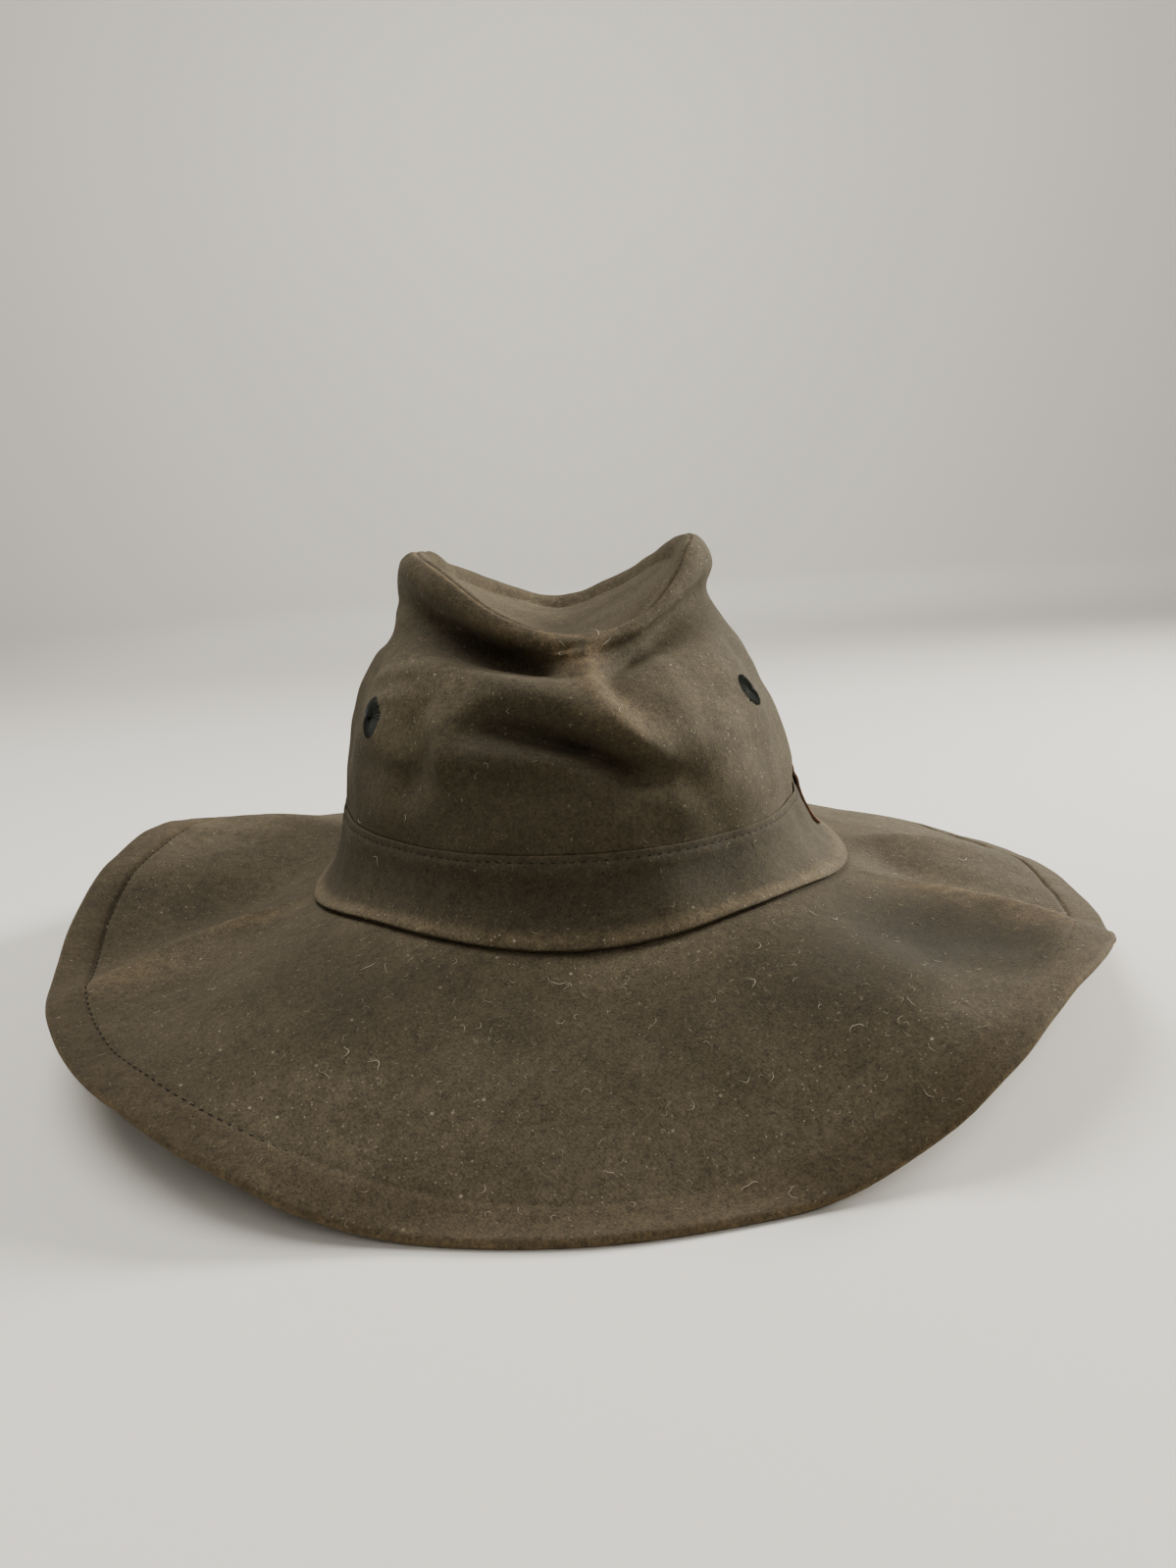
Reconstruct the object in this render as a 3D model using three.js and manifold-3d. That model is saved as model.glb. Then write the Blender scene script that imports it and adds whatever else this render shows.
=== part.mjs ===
// A bush hat of brown waxed cotton, lying on its brim. The crown is a soft wall with a standing lip,
// creased down the middle between two side peaks and folded in at the front. The wide brim droops in
// front and behind, with a sharp corner at the right front. A hatband, a stitched hem, four sewn
// eyelets and a plain patch complete it.
// Millimetres. +Z is up, the front is -Y and the wearer's left is +X. The origin is on the surface that
// the hat lies on, under the middle of its footprint. Azimuths are in degrees from the front, towards +X.
import * as THREE from "three";
import { mergeVertices } from "three/addons/utils/BufferGeometryUtils.js";
import Module from "manifold-3d";

// Driving sizes
const CROWN_CLOTH = 2.0; // the wall and tip, outer cloth and backing together
const BRIM_CLOTH = 2.4; // two layers and a stiffening between them
const HEM_CLOTH = 3.2; // the same, turned over once at the edge
const BAND_CLOTH = 1.4;
const PATCH_THICKNESS = 1.2;
const FIT_GAP = 0.3; // between neighbouring pieces
const BRIM_WIDTH = 79; // from the crown seam to the edge, along the cloth
const HEM_WIDTH = 11;
const RING_HEIGHT = 32.4; // the crown seam's mean height over the surface
const RING_OFFSET = { x: 1, y: -1.75 }; // the crown seam's middle, from the middle of the footprint
const SETTLING = 3; // how gently the brim bends to lie flat on the surface
const FOOT_LIFT = 0.5; // the crown's foot stands this far over the brim

// Sections of the crown's wall from its foot to the seam of the tip: the half sizes of each oval, the
// height of its sides, front and back over the crown seam, how its height rises from end to side, how
// much higher it runs over the front corners, how far it stands to the side, and how far it tilts.
const SECTION_COLUMNS = [
  "name", "side", "front", "back", "zSide", "zFront", "zBack", "rise", "corner", "shift", "tilt",
];
const SECTIONS = [
  ["foot", 87.5, 104, 104, -1, 5.2, -4, 2, 7, 0, 0],
  ["flare", 80.6, 100, 99.5, 4.5, 11.5, 2, 2, 4, -0.6, 0.5],
  ["band middle", 75.4, 97, 96.5, 14, 19.5, 11, 2, 2, -1, 1.2],
  ["band top", 73, 95.5, 94.5, 26, 28, 23, 2, 0.5, -1.4, 2],
  ["lower wall", 72, 94, 92.5, 36, 37, 34, 2, 0, -1.5, 1.5],
  ["waist", 69.6, 91.5, 90.5, 45, 46, 44, 2, 0, -1.7, 1],
  ["belly", 66.8, 92, 88, 54, 53.5, 54, 2, 0, -2.2, 0.5],
  ["shoulder", 62.6, 85, 81, 64, 61, 66, 2, 0, -3, 0],
  ["upper shoulder", 56.6, 74, 70, 74, 69.5, 76, 2, 0, -3.6, -1],
  ["neck", 49.6, 63, 60, 84, 74, 79.5, 2, 0, -3.4, -3],
  ["lip outside", 51.2, 62.5, 60.5, 94.5, 78.5, 82.5, 1.9, 0, -2.6, -1.5],
  ["lip shoulder", 49, 61.5, 59.5, 101.8, 81.5, 85.5, 1.9, 0, -2.4, 0],
  ["lip top", 42.6, 58.5, 56.5, 105, 83, 87, 1.8, 0, 0.8, 0],
  ["lip inside", 38.4, 54.5, 52.5, 102.5, 81.5, 85.5, 1.8, 0, 0.8, 0],
  ["tip seam", 36, 51.5, 49.5, 97.5, 78, 82.5, 1.8, 0, 0.4, 0],
].map((row) => Object.fromEntries(SECTION_COLUMNS.map((name, i) => [name, row[i]])));
const LEVEL = Object.fromEntries(SECTIONS.map((section, i) => [section.name, i]));
const LIP_START = LEVEL.neck + 0.07; // the lip begins a fit gap above the wall's top edge

// Soft folds and dents pressed into the crown: where each is centred, how far it spreads, how its line
// slants (levels for each degree), and how far it moves the cloth out and up.
const CROWN_FOLDS = [
  { name: "left lip hollow", at: -26, level: 9.1, spanAt: 25, span: 0.8, slant: -0.012, out: -5.5, up: -1.5 },
  { name: "right lip hollow", at: 37, level: 9, spanAt: 13, span: 0.9, slant: 0.03, out: -4, up: -0.5 },
  { name: "column at the front", at: 11, level: 8.2, spanAt: 6, span: 1.7, slant: -0.1, out: 2.5, up: 0.5 },
  { name: "front fold", at: -1, level: 7.3, spanAt: 20, span: 0.75, slant: -0.055, out: 3, up: -0.8 },
  { name: "tuck under the fold", at: 3, level: 6, spanAt: 17, span: 0.65, slant: -0.06, out: -3.2, up: 0 },
  { name: "left cheek dent", at: -39, level: 5, spanAt: 9, span: 1, slant: 0, out: -2.5, up: 0 },
  { name: "left swirl", at: -25, level: 5.8, spanAt: 7, span: 0.7, slant: -0.15, out: 1.5, up: 0 },
  { name: "right cheek", at: 36, level: 5.8, spanAt: 14, span: 1.2, slant: 0, out: 1.8, up: 0 },
  { name: "back pinch", at: 180, level: 8.6, spanAt: 24, span: 1, slant: 0, out: -3, up: 0 },
  { name: "band hollow", at: -2, level: 1.9, spanAt: 40, span: 0.7, slant: 0, out: -1.2, up: 0 },
];

// The brim's edge, going round from the front towards +X: its height over the crown seam, and how far
// the cloth reaches from that seam. Where the edge would hang lower than the surface, the cloth lies flat
// on it, in front and behind.
const BRIM_EDGE = [
  { at: 0, z: -35, reach: 80 },
  { at: 12, z: -31.5, reach: 79.5 },
  { at: 22, z: -23, reach: 79.5 },
  { at: 32, z: -12, reach: 81 },
  { at: 42, z: -3.5, reach: 76.5 },
  { at: 54, z: -4, reach: 75.5 },
  { at: 66, z: -14, reach: 78 },
  { at: 78, z: -19, reach: 79 },
  { at: 96, z: -20, reach: 79 },
  { at: 116, z: -23, reach: 79 },
  { at: 142, z: -26, reach: 79 },
  { at: 180, z: -35, reach: 79 },
  { at: 205, z: -28, reach: 79 },
  { at: 220, z: -13, reach: 80.5 },
  { at: 236, z: -1, reach: 80.5 },
  { at: 252, z: 8.5, reach: 80.5 },
  { at: 266, z: 5.5, reach: 79 },
  { at: 276, z: -1.5, reach: 79 },
  { at: 286, z: -8, reach: 79 },
  { at: 300, z: -8, reach: 80 },
  { at: 312, z: -10.5, reach: 80.5 },
  { at: 324, z: -15, reach: 80.5 },
  { at: 336, z: -22.5, reach: 80.5 },
  { at: 348, z: -31.5, reach: 79.5 },
];

// Creases that run out across the brim: azimuth at the seam and at the edge, height, spread in degrees,
// sharpness (1 is a sharp ridge, 2 a round one), and how much of the height is left at the edge.
const BRIM_CREASES = [
  { name: "right corner", from: 73, to: 56, height: 6.5, spread: 8, power: 1, end: 1 },
  { name: "right ridge", from: 89, to: 88, height: 3, spread: 8, power: 1.5, end: 0 },
  { name: "left ridge", from: -80, to: -58, height: 4, spread: 7, power: 1.2, end: 0.7 },
  { name: "rear left ridge", from: -108, to: -113, height: 2.5, spread: 8, power: 1.5, end: 0 },
];

// The four sewn eyelets on the crown
const EYELET = { outerRadius: 7, holeRadius: 2.4, thickness: 2.9, proud: 0.7, level: 6.6, sides: 16 };
const EYELET_PLACES = [
  { name: "eyelet_front_right", at: -57 },
  { name: "eyelet_front_left", at: 60 },
  { name: "eyelet_rear_right", at: -123 },
  { name: "eyelet_rear_left", at: 123 },
];

const PATCH = { at: 94, turn: 17, bottomLevel: 1.15, topLevel: 3.3 }; // about 28 mm wide, 20 mm tall

// The wall, lip, brim and hem are each made as two halves that meet in the middle of the front and back.
const HALVES = [
  { side: "left", start: 0 },
  { side: "right", start: 180 },
];
const MIDDLE_GAP = 0.35; // degrees that each half stops short of the middle

// Facets
const AROUND_CROWN = 56;
const STEPS_PER_LEVEL = 1.25;
const BAND_STEPS = 6; // the wall has the same steps behind the band, so the two stay apart
const AROUND_TIP = 44;
const TIP_RINGS = 4;
const AROUND_BRIM = 84;
const BRIM_RINGS = 5;

const WAXED_COTTON = { color: 0x4d4436, roughness: 0.86, metalness: 0 };
const HEM_COTTON = { color: 0x574631, roughness: 0.84, metalness: 0 };
const BAND_COTTON = { color: 0x443d31, roughness: 0.88, metalness: 0 };
const EYELET_THREAD = { color: 0x161c1a, roughness: 0.6, metalness: 0 };
const PATCH_LEATHER = { color: 0x3a211b, roughness: 0.7, metalness: 0 };

const radians = THREE.MathUtils.degToRad;
const mix = THREE.MathUtils.lerp;

// A smooth curve through evenly counted values, read at any place between them.
function smoothAt(count, valueOf, place, closed) {
  const low = Math.floor(place);
  const share = place - low;
  const pick = (i) => valueOf(closed ? (i + count) % count : THREE.MathUtils.clamp(i, 0, count - 1));
  const [a, b, c, d] = [pick(low - 1), pick(low), pick(low + 1), pick(low + 2)];
  const cubic = (3 * (b - c) + d - a) * share + (2 * a - 5 * b + 4 * c - d);
  return b + 0.5 * share * (c - a + share * cubic);
}

// One point of the crown's wall: azimuth in degrees, level counted in sections.
function crownSurface(at, level) {
  const size = (column) => smoothAt(SECTIONS.length, (i) => SECTIONS[i][column], level, false);
  const turn = radians(at);
  const end = Math.cos(turn) > 0 ? "Front" : "Back";
  const across = size("side") * Math.sin(turn);
  const along = size(end.toLowerCase()) * Math.cos(turn);
  const lift = Math.abs(Math.sin(turn)) ** size("rise");
  // The front and back heights meet smoothly at the sides.
  const frontShare = 0.5 + 0.5 * Math.cos(turn);
  const endHeight = mix(size("zBack"), size("zFront"), frontShare);
  const point = new THREE.Vector3(across, -along, mix(endHeight, size("zSide"), lift));
  point.z += size("corner") * frontShare * Math.sin(2 * turn) ** 2 - size("tilt") * Math.sin(turn);
  const outward = new THREE.Vector3(Math.sin(turn), -Math.cos(turn), 0);
  for (const fold of CROWN_FOLDS) {
    const away = THREE.MathUtils.euclideanModulo(at - fold.at + 180, 360) - 180;
    const above = level - fold.level - fold.slant * away;
    const weight = Math.exp(-((away / fold.spanAt) ** 2) - (above / fold.span) ** 2);
    point.addScaledVector(outward, fold.out * weight);
    point.z += fold.up * weight;
  }
  point.x += size("shift");
  return point;
}

// The outward normal of a surface of (azimuth, place), by small steps.
function normalOf(surface, at, place) {
  const step = 0.02;
  const round = surface(at + 1, place).sub(surface(at - 1, place));
  const upward = surface(at, place + step).sub(surface(at, place - step));
  return round.cross(upward).normalize();
}

const crownAt = (at, level, depth) =>
  crownSurface(at, level).addScaledVector(normalOf(crownSurface, at, level), -depth);

// The brim's edge at an azimuth, by the table.
function edgeAt(at) {
  const turned = THREE.MathUtils.euclideanModulo(at, 360);
  const count = BRIM_EDGE.length;
  let row = count - 1;
  while (BRIM_EDGE[row].at > turned) row -= 1;
  const from = BRIM_EDGE[row].at;
  const to = row + 1 < count ? BRIM_EDGE[row + 1].at : 360;
  const place = row + (turned - from) / (to - from);
  const read = (column) => smoothAt(count, (i) => BRIM_EDGE[i][column], place, true);
  return { z: read("z"), reach: read("reach") };
}

const degreesBetween = (a, b) => Math.abs(THREE.MathUtils.euclideanModulo(a - b + 180, 360) - 180);

// How far the creases raise the brim at a place on it.
function creaseLift(at, place) {
  let lift = 0;
  for (const crease of BRIM_CREASES) {
    const away = degreesBetween(at, mix(crease.from, crease.to, place));
    const along = Math.sqrt(place) * (1 - (1 - crease.end) * place ** 3);
    lift += crease.height * along * Math.exp(-((away / crease.spread) ** crease.power));
  }
  return lift;
}

// One point of the brim's upper face. Place 0 is on the crown seam and 1 on the edge. The cloth keeps
// its width, so the edge comes in where it droops.
function brimSurface(at, place) {
  const seam = crownSurface(at, 0);
  const inward = crownSurface(at + 1, 0).sub(crownSurface(at - 1, 0)).setZ(0).normalize();
  const outward = new THREE.Vector3(inward.y, -inward.x, 0);
  const edge = edgeAt(at);
  const drop = edge.z - seam.z;
  const run = Math.sqrt(edge.reach ** 2 - drop ** 2);
  const sag = Math.max(0, 0.8 * place + 0.2 * place ** 2);
  const point = seam.clone().addScaledVector(outward, run * place);
  point.z += drop * sag + creaseLift(at, THREE.MathUtils.clamp(place, 0, 1)) - FOOT_LIFT;
  point.z = settled(point.z, BRIM_CLOTH - RING_HEIGHT);
  return point;
}

// Cloth that would hang below the lowest place that it can lie bends softly and lies flat there.
function settled(height, lowest) {
  const over = height - lowest;
  if (over >= SETTLING) return height;
  return over <= -SETTLING ? lowest : lowest + (over + SETTLING) ** 2 / (4 * SETTLING);
}

// A round shell: a closed lathe band of (place, skin) whose points are then moved to where they belong.
function shell(around, places, pointAt) {
  const outer = places.map((place) => new THREE.Vector2(1 + place, 0));
  const inner = [...places].reverse().map((place) => new THREE.Vector2(1 + place, 1));
  return bend(new THREE.LatheGeometry([...outer, ...inner, outer[0]], around), pointAt);
}

// Half of a round shell: a box of (azimuth, place, skin) whose points are moved in the same way.
function halfShell(start, around, places, pointAt) {
  const rows = places.length - 1;
  const geometry = new THREE.BoxGeometry(1, 1, 1, around / 2, rows, 1);
  const position = geometry.attributes.position;
  for (let i = 0; i < position.count; i++) {
    const at = start + mix(MIDDLE_GAP, 180 - MIDDLE_GAP, position.getX(i) + 0.5);
    const place = places[Math.round((position.getY(i) + 0.5) * rows)];
    position.setXYZ(i, ...pointAt(at, place, 0.5 - position.getZ(i)));
  }
  return closed(geometry);
}

function bend(geometry, pointAt) {
  const position = geometry.attributes.position;
  for (let i = 0; i < position.count; i++) {
    const [x, skin, z] = [position.getX(i), position.getY(i), position.getZ(i)];
    const place = Math.hypot(x, z) - 1;
    const at = THREE.MathUtils.radToDeg(Math.atan2(x, z));
    const point = pointAt(at, place, skin);
    position.setXYZ(i, point.x, point.y, point.z);
  }
  return closed(geometry);
}

// Joins the doubled points along a geometry's seams, so that it is one closed surface.
function closed(geometry) {
  geometry.deleteAttribute("normal");
  geometry.deleteAttribute("uv");
  const merged = mergeVertices(geometry, 1e-4);
  const corners = merged.index.array;
  const kept = [];
  for (let i = 0; i < corners.length; i += 3) {
    const [a, b, c] = corners.slice(i, i + 3);
    if (a !== b && b !== c && c !== a) kept.push(a, b, c);
  }
  merged.setIndex(kept);
  merged.computeVertexNormals();
  return merged;
}

const evenly = (from, to, steps) => Array.from({ length: steps + 1 }, (_, i) => mix(from, to, i / steps));

const wasm = await Module();
wasm.setup();

function solidFrom(geometry) {
  return new wasm.Manifold(
    new wasm.Mesh({
      numProp: 3,
      vertProperties: new Float32Array(geometry.attributes.position.array),
      triVerts: new Uint32Array(geometry.index.array),
    }),
  );
}

function geometryFrom(solid) {
  const mesh = solid.getMesh();
  const geometry = new THREE.BufferGeometry();
  geometry.setAttribute("position", new THREE.BufferAttribute(new Float32Array(mesh.vertProperties), 3));
  geometry.setIndex(new THREE.BufferAttribute(new Uint32Array(mesh.triVerts), 1));
  geometry.computeVertexNormals();
  return geometry;
}

// Where an eyelet sits on the wall: its middle and the way it faces.
function eyeletFrame(at) {
  const normal = normalOf(crownSurface, at, EYELET.level);
  const turn = new THREE.Quaternion().setFromUnitVectors(new THREE.Vector3(0, 1, 0), normal);
  return { middle: crownSurface(at, EYELET.level), normal, turn };
}

const byLevel = (from, to) => evenly(from, to, Math.round((to - from) * STEPS_PER_LEVEL));

function crownWall(start) {
  const bandTop = LEVEL["band top"];
  const levels = [...evenly(0, bandTop, BAND_STEPS), ...byLevel(bandTop, LEVEL.neck).slice(1)];
  const wallPoint = (at, level, skin) => {
    const point = crownAt(at, level, skin * CROWN_CLOTH);
    point.z = Math.max(point.z, crownSurface(at, 0).z); // the foot is cut level
    return point;
  };
  let wall = solidFrom(halfShell(start, AROUND_CROWN, levels, wallPoint));
  for (const { at } of EYELET_PLACES) {
    const frame = eyeletFrame(at);
    const cutter = new THREE.CylinderGeometry(
      EYELET.outerRadius + FIT_GAP,
      EYELET.outerRadius + FIT_GAP,
      6 * CROWN_CLOTH,
      EYELET.sides,
    );
    cutter.applyQuaternion(frame.turn).translate(...frame.middle);
    wall = wall.subtract(solidFrom(closed(cutter)));
  }
  return geometryFrom(wall);
}

function crownLip(start) {
  const levels = byLevel(LIP_START, LEVEL["tip seam"]);
  const lipPoint = (at, level, skin) => crownAt(at, level, skin * CROWN_CLOTH);
  return halfShell(start, AROUND_CROWN, levels, lipPoint);
}

// The tip: an oval panel inside the lip, creased along the middle.
function crownTip() {
  const lower = evenly(0, 1, TIP_RINGS).map((ring) => new THREE.Vector2(ring, 1));
  const upper = evenly(1, 0, TIP_RINGS).map((ring) => new THREE.Vector2(ring, 0));
  const seamLevel = LEVEL["tip seam"];
  return bend(new THREE.LatheGeometry([...lower, ...upper], AROUND_TIP), (at, minusOne, skin) => {
    const ring = minusOne + 1;
    const seam = crownSurface(at, seamLevel);
    const last = SECTIONS[seamLevel];
    const towards = new THREE.Vector3(seam.x - last.shift, seam.y, 0);
    const point = towards.clone().multiplyScalar(ring * (1 - FIT_GAP / towards.length()));
    const valley = mix(last.zBack, last.zFront, 0.5 - (0.5 * point.y) / last.front);
    const lift = (Math.abs(point.x) / last.side) ** last.rise;
    point.z = mix(valley, last.zSide, lift) - skin * CROWN_CLOTH;
    point.x += last.shift;
    return point;
  });
}

function hatband() {
  const levels = [0.12, ...evenly(0, LEVEL["band top"], BAND_STEPS).slice(1)];
  const skins = [BAND_CLOTH + FIT_GAP, FIT_GAP];
  return shell(AROUND_CROWN, levels, (at, level, skin) => crownAt(at, level, -skins[Math.round(skin)]));
}

// The brim's cloth lies under its upper face. Where that lies on the surface, so does its underside.
function brimPoint(at, place, depth) {
  const upper = brimSurface(at, place);
  const lowered = upper.addScaledVector(normalOf(brimSurface, at, place), depth);
  lowered.z = Math.max(lowered.z, -RING_HEIGHT);
  return lowered;
}

const hemStart = 1 - HEM_WIDTH / BRIM_WIDTH;

function brim(start) {
  const tuck = -2.2 / BRIM_WIDTH; // the seam allowance under the crown's foot
  const places = evenly(tuck, hemStart - FIT_GAP / BRIM_WIDTH, BRIM_RINGS);
  const clothPoint = (at, place, skin) => brimPoint(at, place, skin ? 0 : BRIM_CLOTH);
  return halfShell(start, AROUND_BRIM, places, clothPoint);
}

function brimHem(start) {
  const swell = (HEM_CLOTH - BRIM_CLOTH) / 2;
  const places = [hemStart, mix(hemStart, 1, 0.55), 1];
  const clothPoint = (at, place, skin) => brimPoint(at, place, skin ? -swell : BRIM_CLOTH + swell);
  return halfShell(start, AROUND_BRIM, places, clothPoint);
}

function eyelet() {
  const { outerRadius, holeRadius, thickness } = EYELET;
  const shoulder = 0.9;
  const profile = [
    [holeRadius + shoulder, thickness],
    [holeRadius, thickness - shoulder],
    [holeRadius, 0],
    [outerRadius, 0],
    [outerRadius, thickness - shoulder],
    [outerRadius - shoulder, thickness],
    [holeRadius + shoulder, thickness],
  ].map(([radius, height]) => new THREE.Vector2(radius, height + EYELET.proud - thickness));
  return closed(new THREE.LatheGeometry(profile, EYELET.sides));
}

// The patch is sewn flat on the hatband.
function sidePatch() {
  const geometry = new THREE.BoxGeometry(1, 1, 1, 6, 3, 1);
  const position = geometry.attributes.position;
  for (let i = 0; i < position.count; i++) {
    const at = PATCH.at + position.getX(i) * PATCH.turn;
    const level = mix(PATCH.bottomLevel, PATCH.topLevel, position.getY(i) + 0.5);
    const out = BAND_CLOTH + 2 * FIT_GAP + (position.getZ(i) + 0.5) * PATCH_THICKNESS;
    position.setXYZ(i, ...crownAt(at, level, -out));
  }
  return closed(geometry);
}

function mesh(name, geometry, finish) {
  const made = new THREE.Mesh(geometry, new THREE.MeshStandardMaterial(finish));
  made.name = name;
  return made;
}

const hat = new THREE.Group();
hat.name = "bush_hat";
hat.position.set(RING_OFFSET.x, RING_OFFSET.y, RING_HEIGHT);
hat.add(
  mesh("crown_tip", crownTip(), WAXED_COTTON),
  mesh("hatband", hatband(), BAND_COTTON),
  mesh("side_patch", sidePatch(), PATCH_LEATHER),
);
for (const { side, start } of HALVES) {
  hat.add(
    mesh(`crown_wall_${side}`, crownWall(start), WAXED_COTTON),
    mesh(`crown_lip_${side}`, crownLip(start), WAXED_COTTON),
    mesh(`brim_${side}`, brim(start), WAXED_COTTON),
    mesh(`brim_hem_${side}`, brimHem(start), HEM_COTTON),
  );
}
for (const { name, at } of EYELET_PLACES) {
  const ring = mesh(name, eyelet(), EYELET_THREAD);
  const frame = eyeletFrame(at);
  ring.position.copy(frame.middle);
  ring.quaternion.copy(frame.turn);
  hat.add(ring);
}

export default hat;
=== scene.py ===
import math

import bpy
import numpy as np
from mathutils import Matrix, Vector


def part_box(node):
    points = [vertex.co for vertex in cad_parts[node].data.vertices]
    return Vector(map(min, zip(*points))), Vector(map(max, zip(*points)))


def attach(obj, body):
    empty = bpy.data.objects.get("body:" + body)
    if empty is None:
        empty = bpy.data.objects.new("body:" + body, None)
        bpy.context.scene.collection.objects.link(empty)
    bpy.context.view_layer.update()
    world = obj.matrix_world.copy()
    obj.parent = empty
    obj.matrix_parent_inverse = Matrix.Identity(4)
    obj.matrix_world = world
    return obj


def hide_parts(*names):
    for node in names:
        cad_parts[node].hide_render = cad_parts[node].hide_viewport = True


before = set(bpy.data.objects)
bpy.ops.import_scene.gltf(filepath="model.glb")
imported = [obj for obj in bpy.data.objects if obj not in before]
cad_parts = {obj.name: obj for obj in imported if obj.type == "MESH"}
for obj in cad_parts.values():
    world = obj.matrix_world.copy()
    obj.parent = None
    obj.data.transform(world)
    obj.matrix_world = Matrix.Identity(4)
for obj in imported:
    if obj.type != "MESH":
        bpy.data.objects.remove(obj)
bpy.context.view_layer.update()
bpy.ops.object.select_all(action="DESELECT")
print("frame loaded")

# Shapes are worked out in millimetres from the middle of the crown seam, then set down in the frame.
# Azimuths are in degrees from the hat's front towards its own left. A level counts the wall's sections.
mm = 0.001
leftLow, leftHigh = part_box("crown_wall_left")
rightLow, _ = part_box("crown_wall_right")

# The crown: its wall, its standing lip and its tip

crown = {
    "cloth": 2.0,
    "around": 340,
    "rows": 136,
    "rimSeam": 12.1,  # the level where the wall is sewn to the tip
    "frontCrowding": 26,  # how much closer the columns stand at the front, in degrees
    "sections": {
        # side, front, back, zSide, zFront, zBack, rise, corner, shift, tilt
        "foot": (87.5, 104, 104, -1, 5.2, -4, 2, 7, 0, 0),
        "flare": (80.6, 100, 99.5, 4.5, 11.5, 2, 2, 4, -0.6, 0.5),
        "bandMiddle": (75.4, 97, 96.5, 14, 19.5, 11, 2, 2, -1, 1.2),
        "bandTop": (73, 95.5, 94.5, 26, 28, 23, 2, 0.5, -1.4, 2),
        "lowerWall": (72, 94, 92.5, 36, 37, 34, 2, 0, -1.5, 1.5),
        "waist": (69.6, 91.5, 90.5, 45, 46, 44, 2, 0, -1.7, 1),
        "belly": (66.8, 92, 88, 54, 53.5, 54, 2, 0, -2.2, 0.5),
        "shoulder": (62.6, 85, 81, 64, 61, 66, 2, 0, -3, 0),
        "upperShoulder": (56.6, 74, 70, 74, 69.5, 76, 2, 0, -3.6, -1),
        "neck": (49.6, 63, 60, 84, 74, 79.5, 2, 0, -3.4, -3),
        "lipOutside": (51.2, 62.5, 60.5, 94.5, 78.5, 82.5, 1.9, 0, -2.6, -1.5),
        "lipShoulder": (49, 61.5, 59.5, 101.8, 81.5, 85.5, 1.9, 0, -2.4, 0),
        "lipTop": (44, 58.5, 56.5, 105, 83, 87, 1.8, 0, -1.2, 0),
        "lipInside": (39.8, 54.5, 52.5, 102.5, 81.5, 85.5, 1.8, 0, -1.2, 0),
        "tipSeam": (37.4, 51.5, 49.5, 97.5, 78, 82.5, 1.8, 0, -1.4, 0),
    },
    "levelHeight": 9.6,
    "fineAt": 0.75,  # the steps of the table that the folded surface is kept in
    "fineLevel": 0.05,
    "lowest": -0.3,
    "highest": 14.25,
    "crumple": 0.45,
    "crumples": ((34, 3, 1), (13, 4, 0.35)),  # size, seed, strength
    "crumpleFrom": 1.5,
    "dropOver": 3.6,
    "pushRise": 0.35,
    "foldReach": 2.2,  # in spreads
    "foldEnd": 1.2,  # levels under the crest's seam over which the folds die away
    "smoothOver": 0.7,  # levels, so that pushes don't cross in a hollow
    "softenings": 2,
    "hiddenRows": 14,
    "underBand": 0.2,
    "rimSpan": 5.5,  # a level's length near the crest
    "seamDepth": 0.7,
    "seamWidth": 0.9,
}
sectionTable = np.array(list(crown["sections"].values()))
levelOf = {name: i for i, name in enumerate(crown["sections"])}
seamMiddle = np.array([
    (rightLow.x + leftHigh.x) / 2,
    (leftLow.y + leftHigh.y) / 2,
    leftLow.z - crown["sections"]["foot"][5] * mm,
])
floorHeight = -seamMiddle[2] / mm

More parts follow.
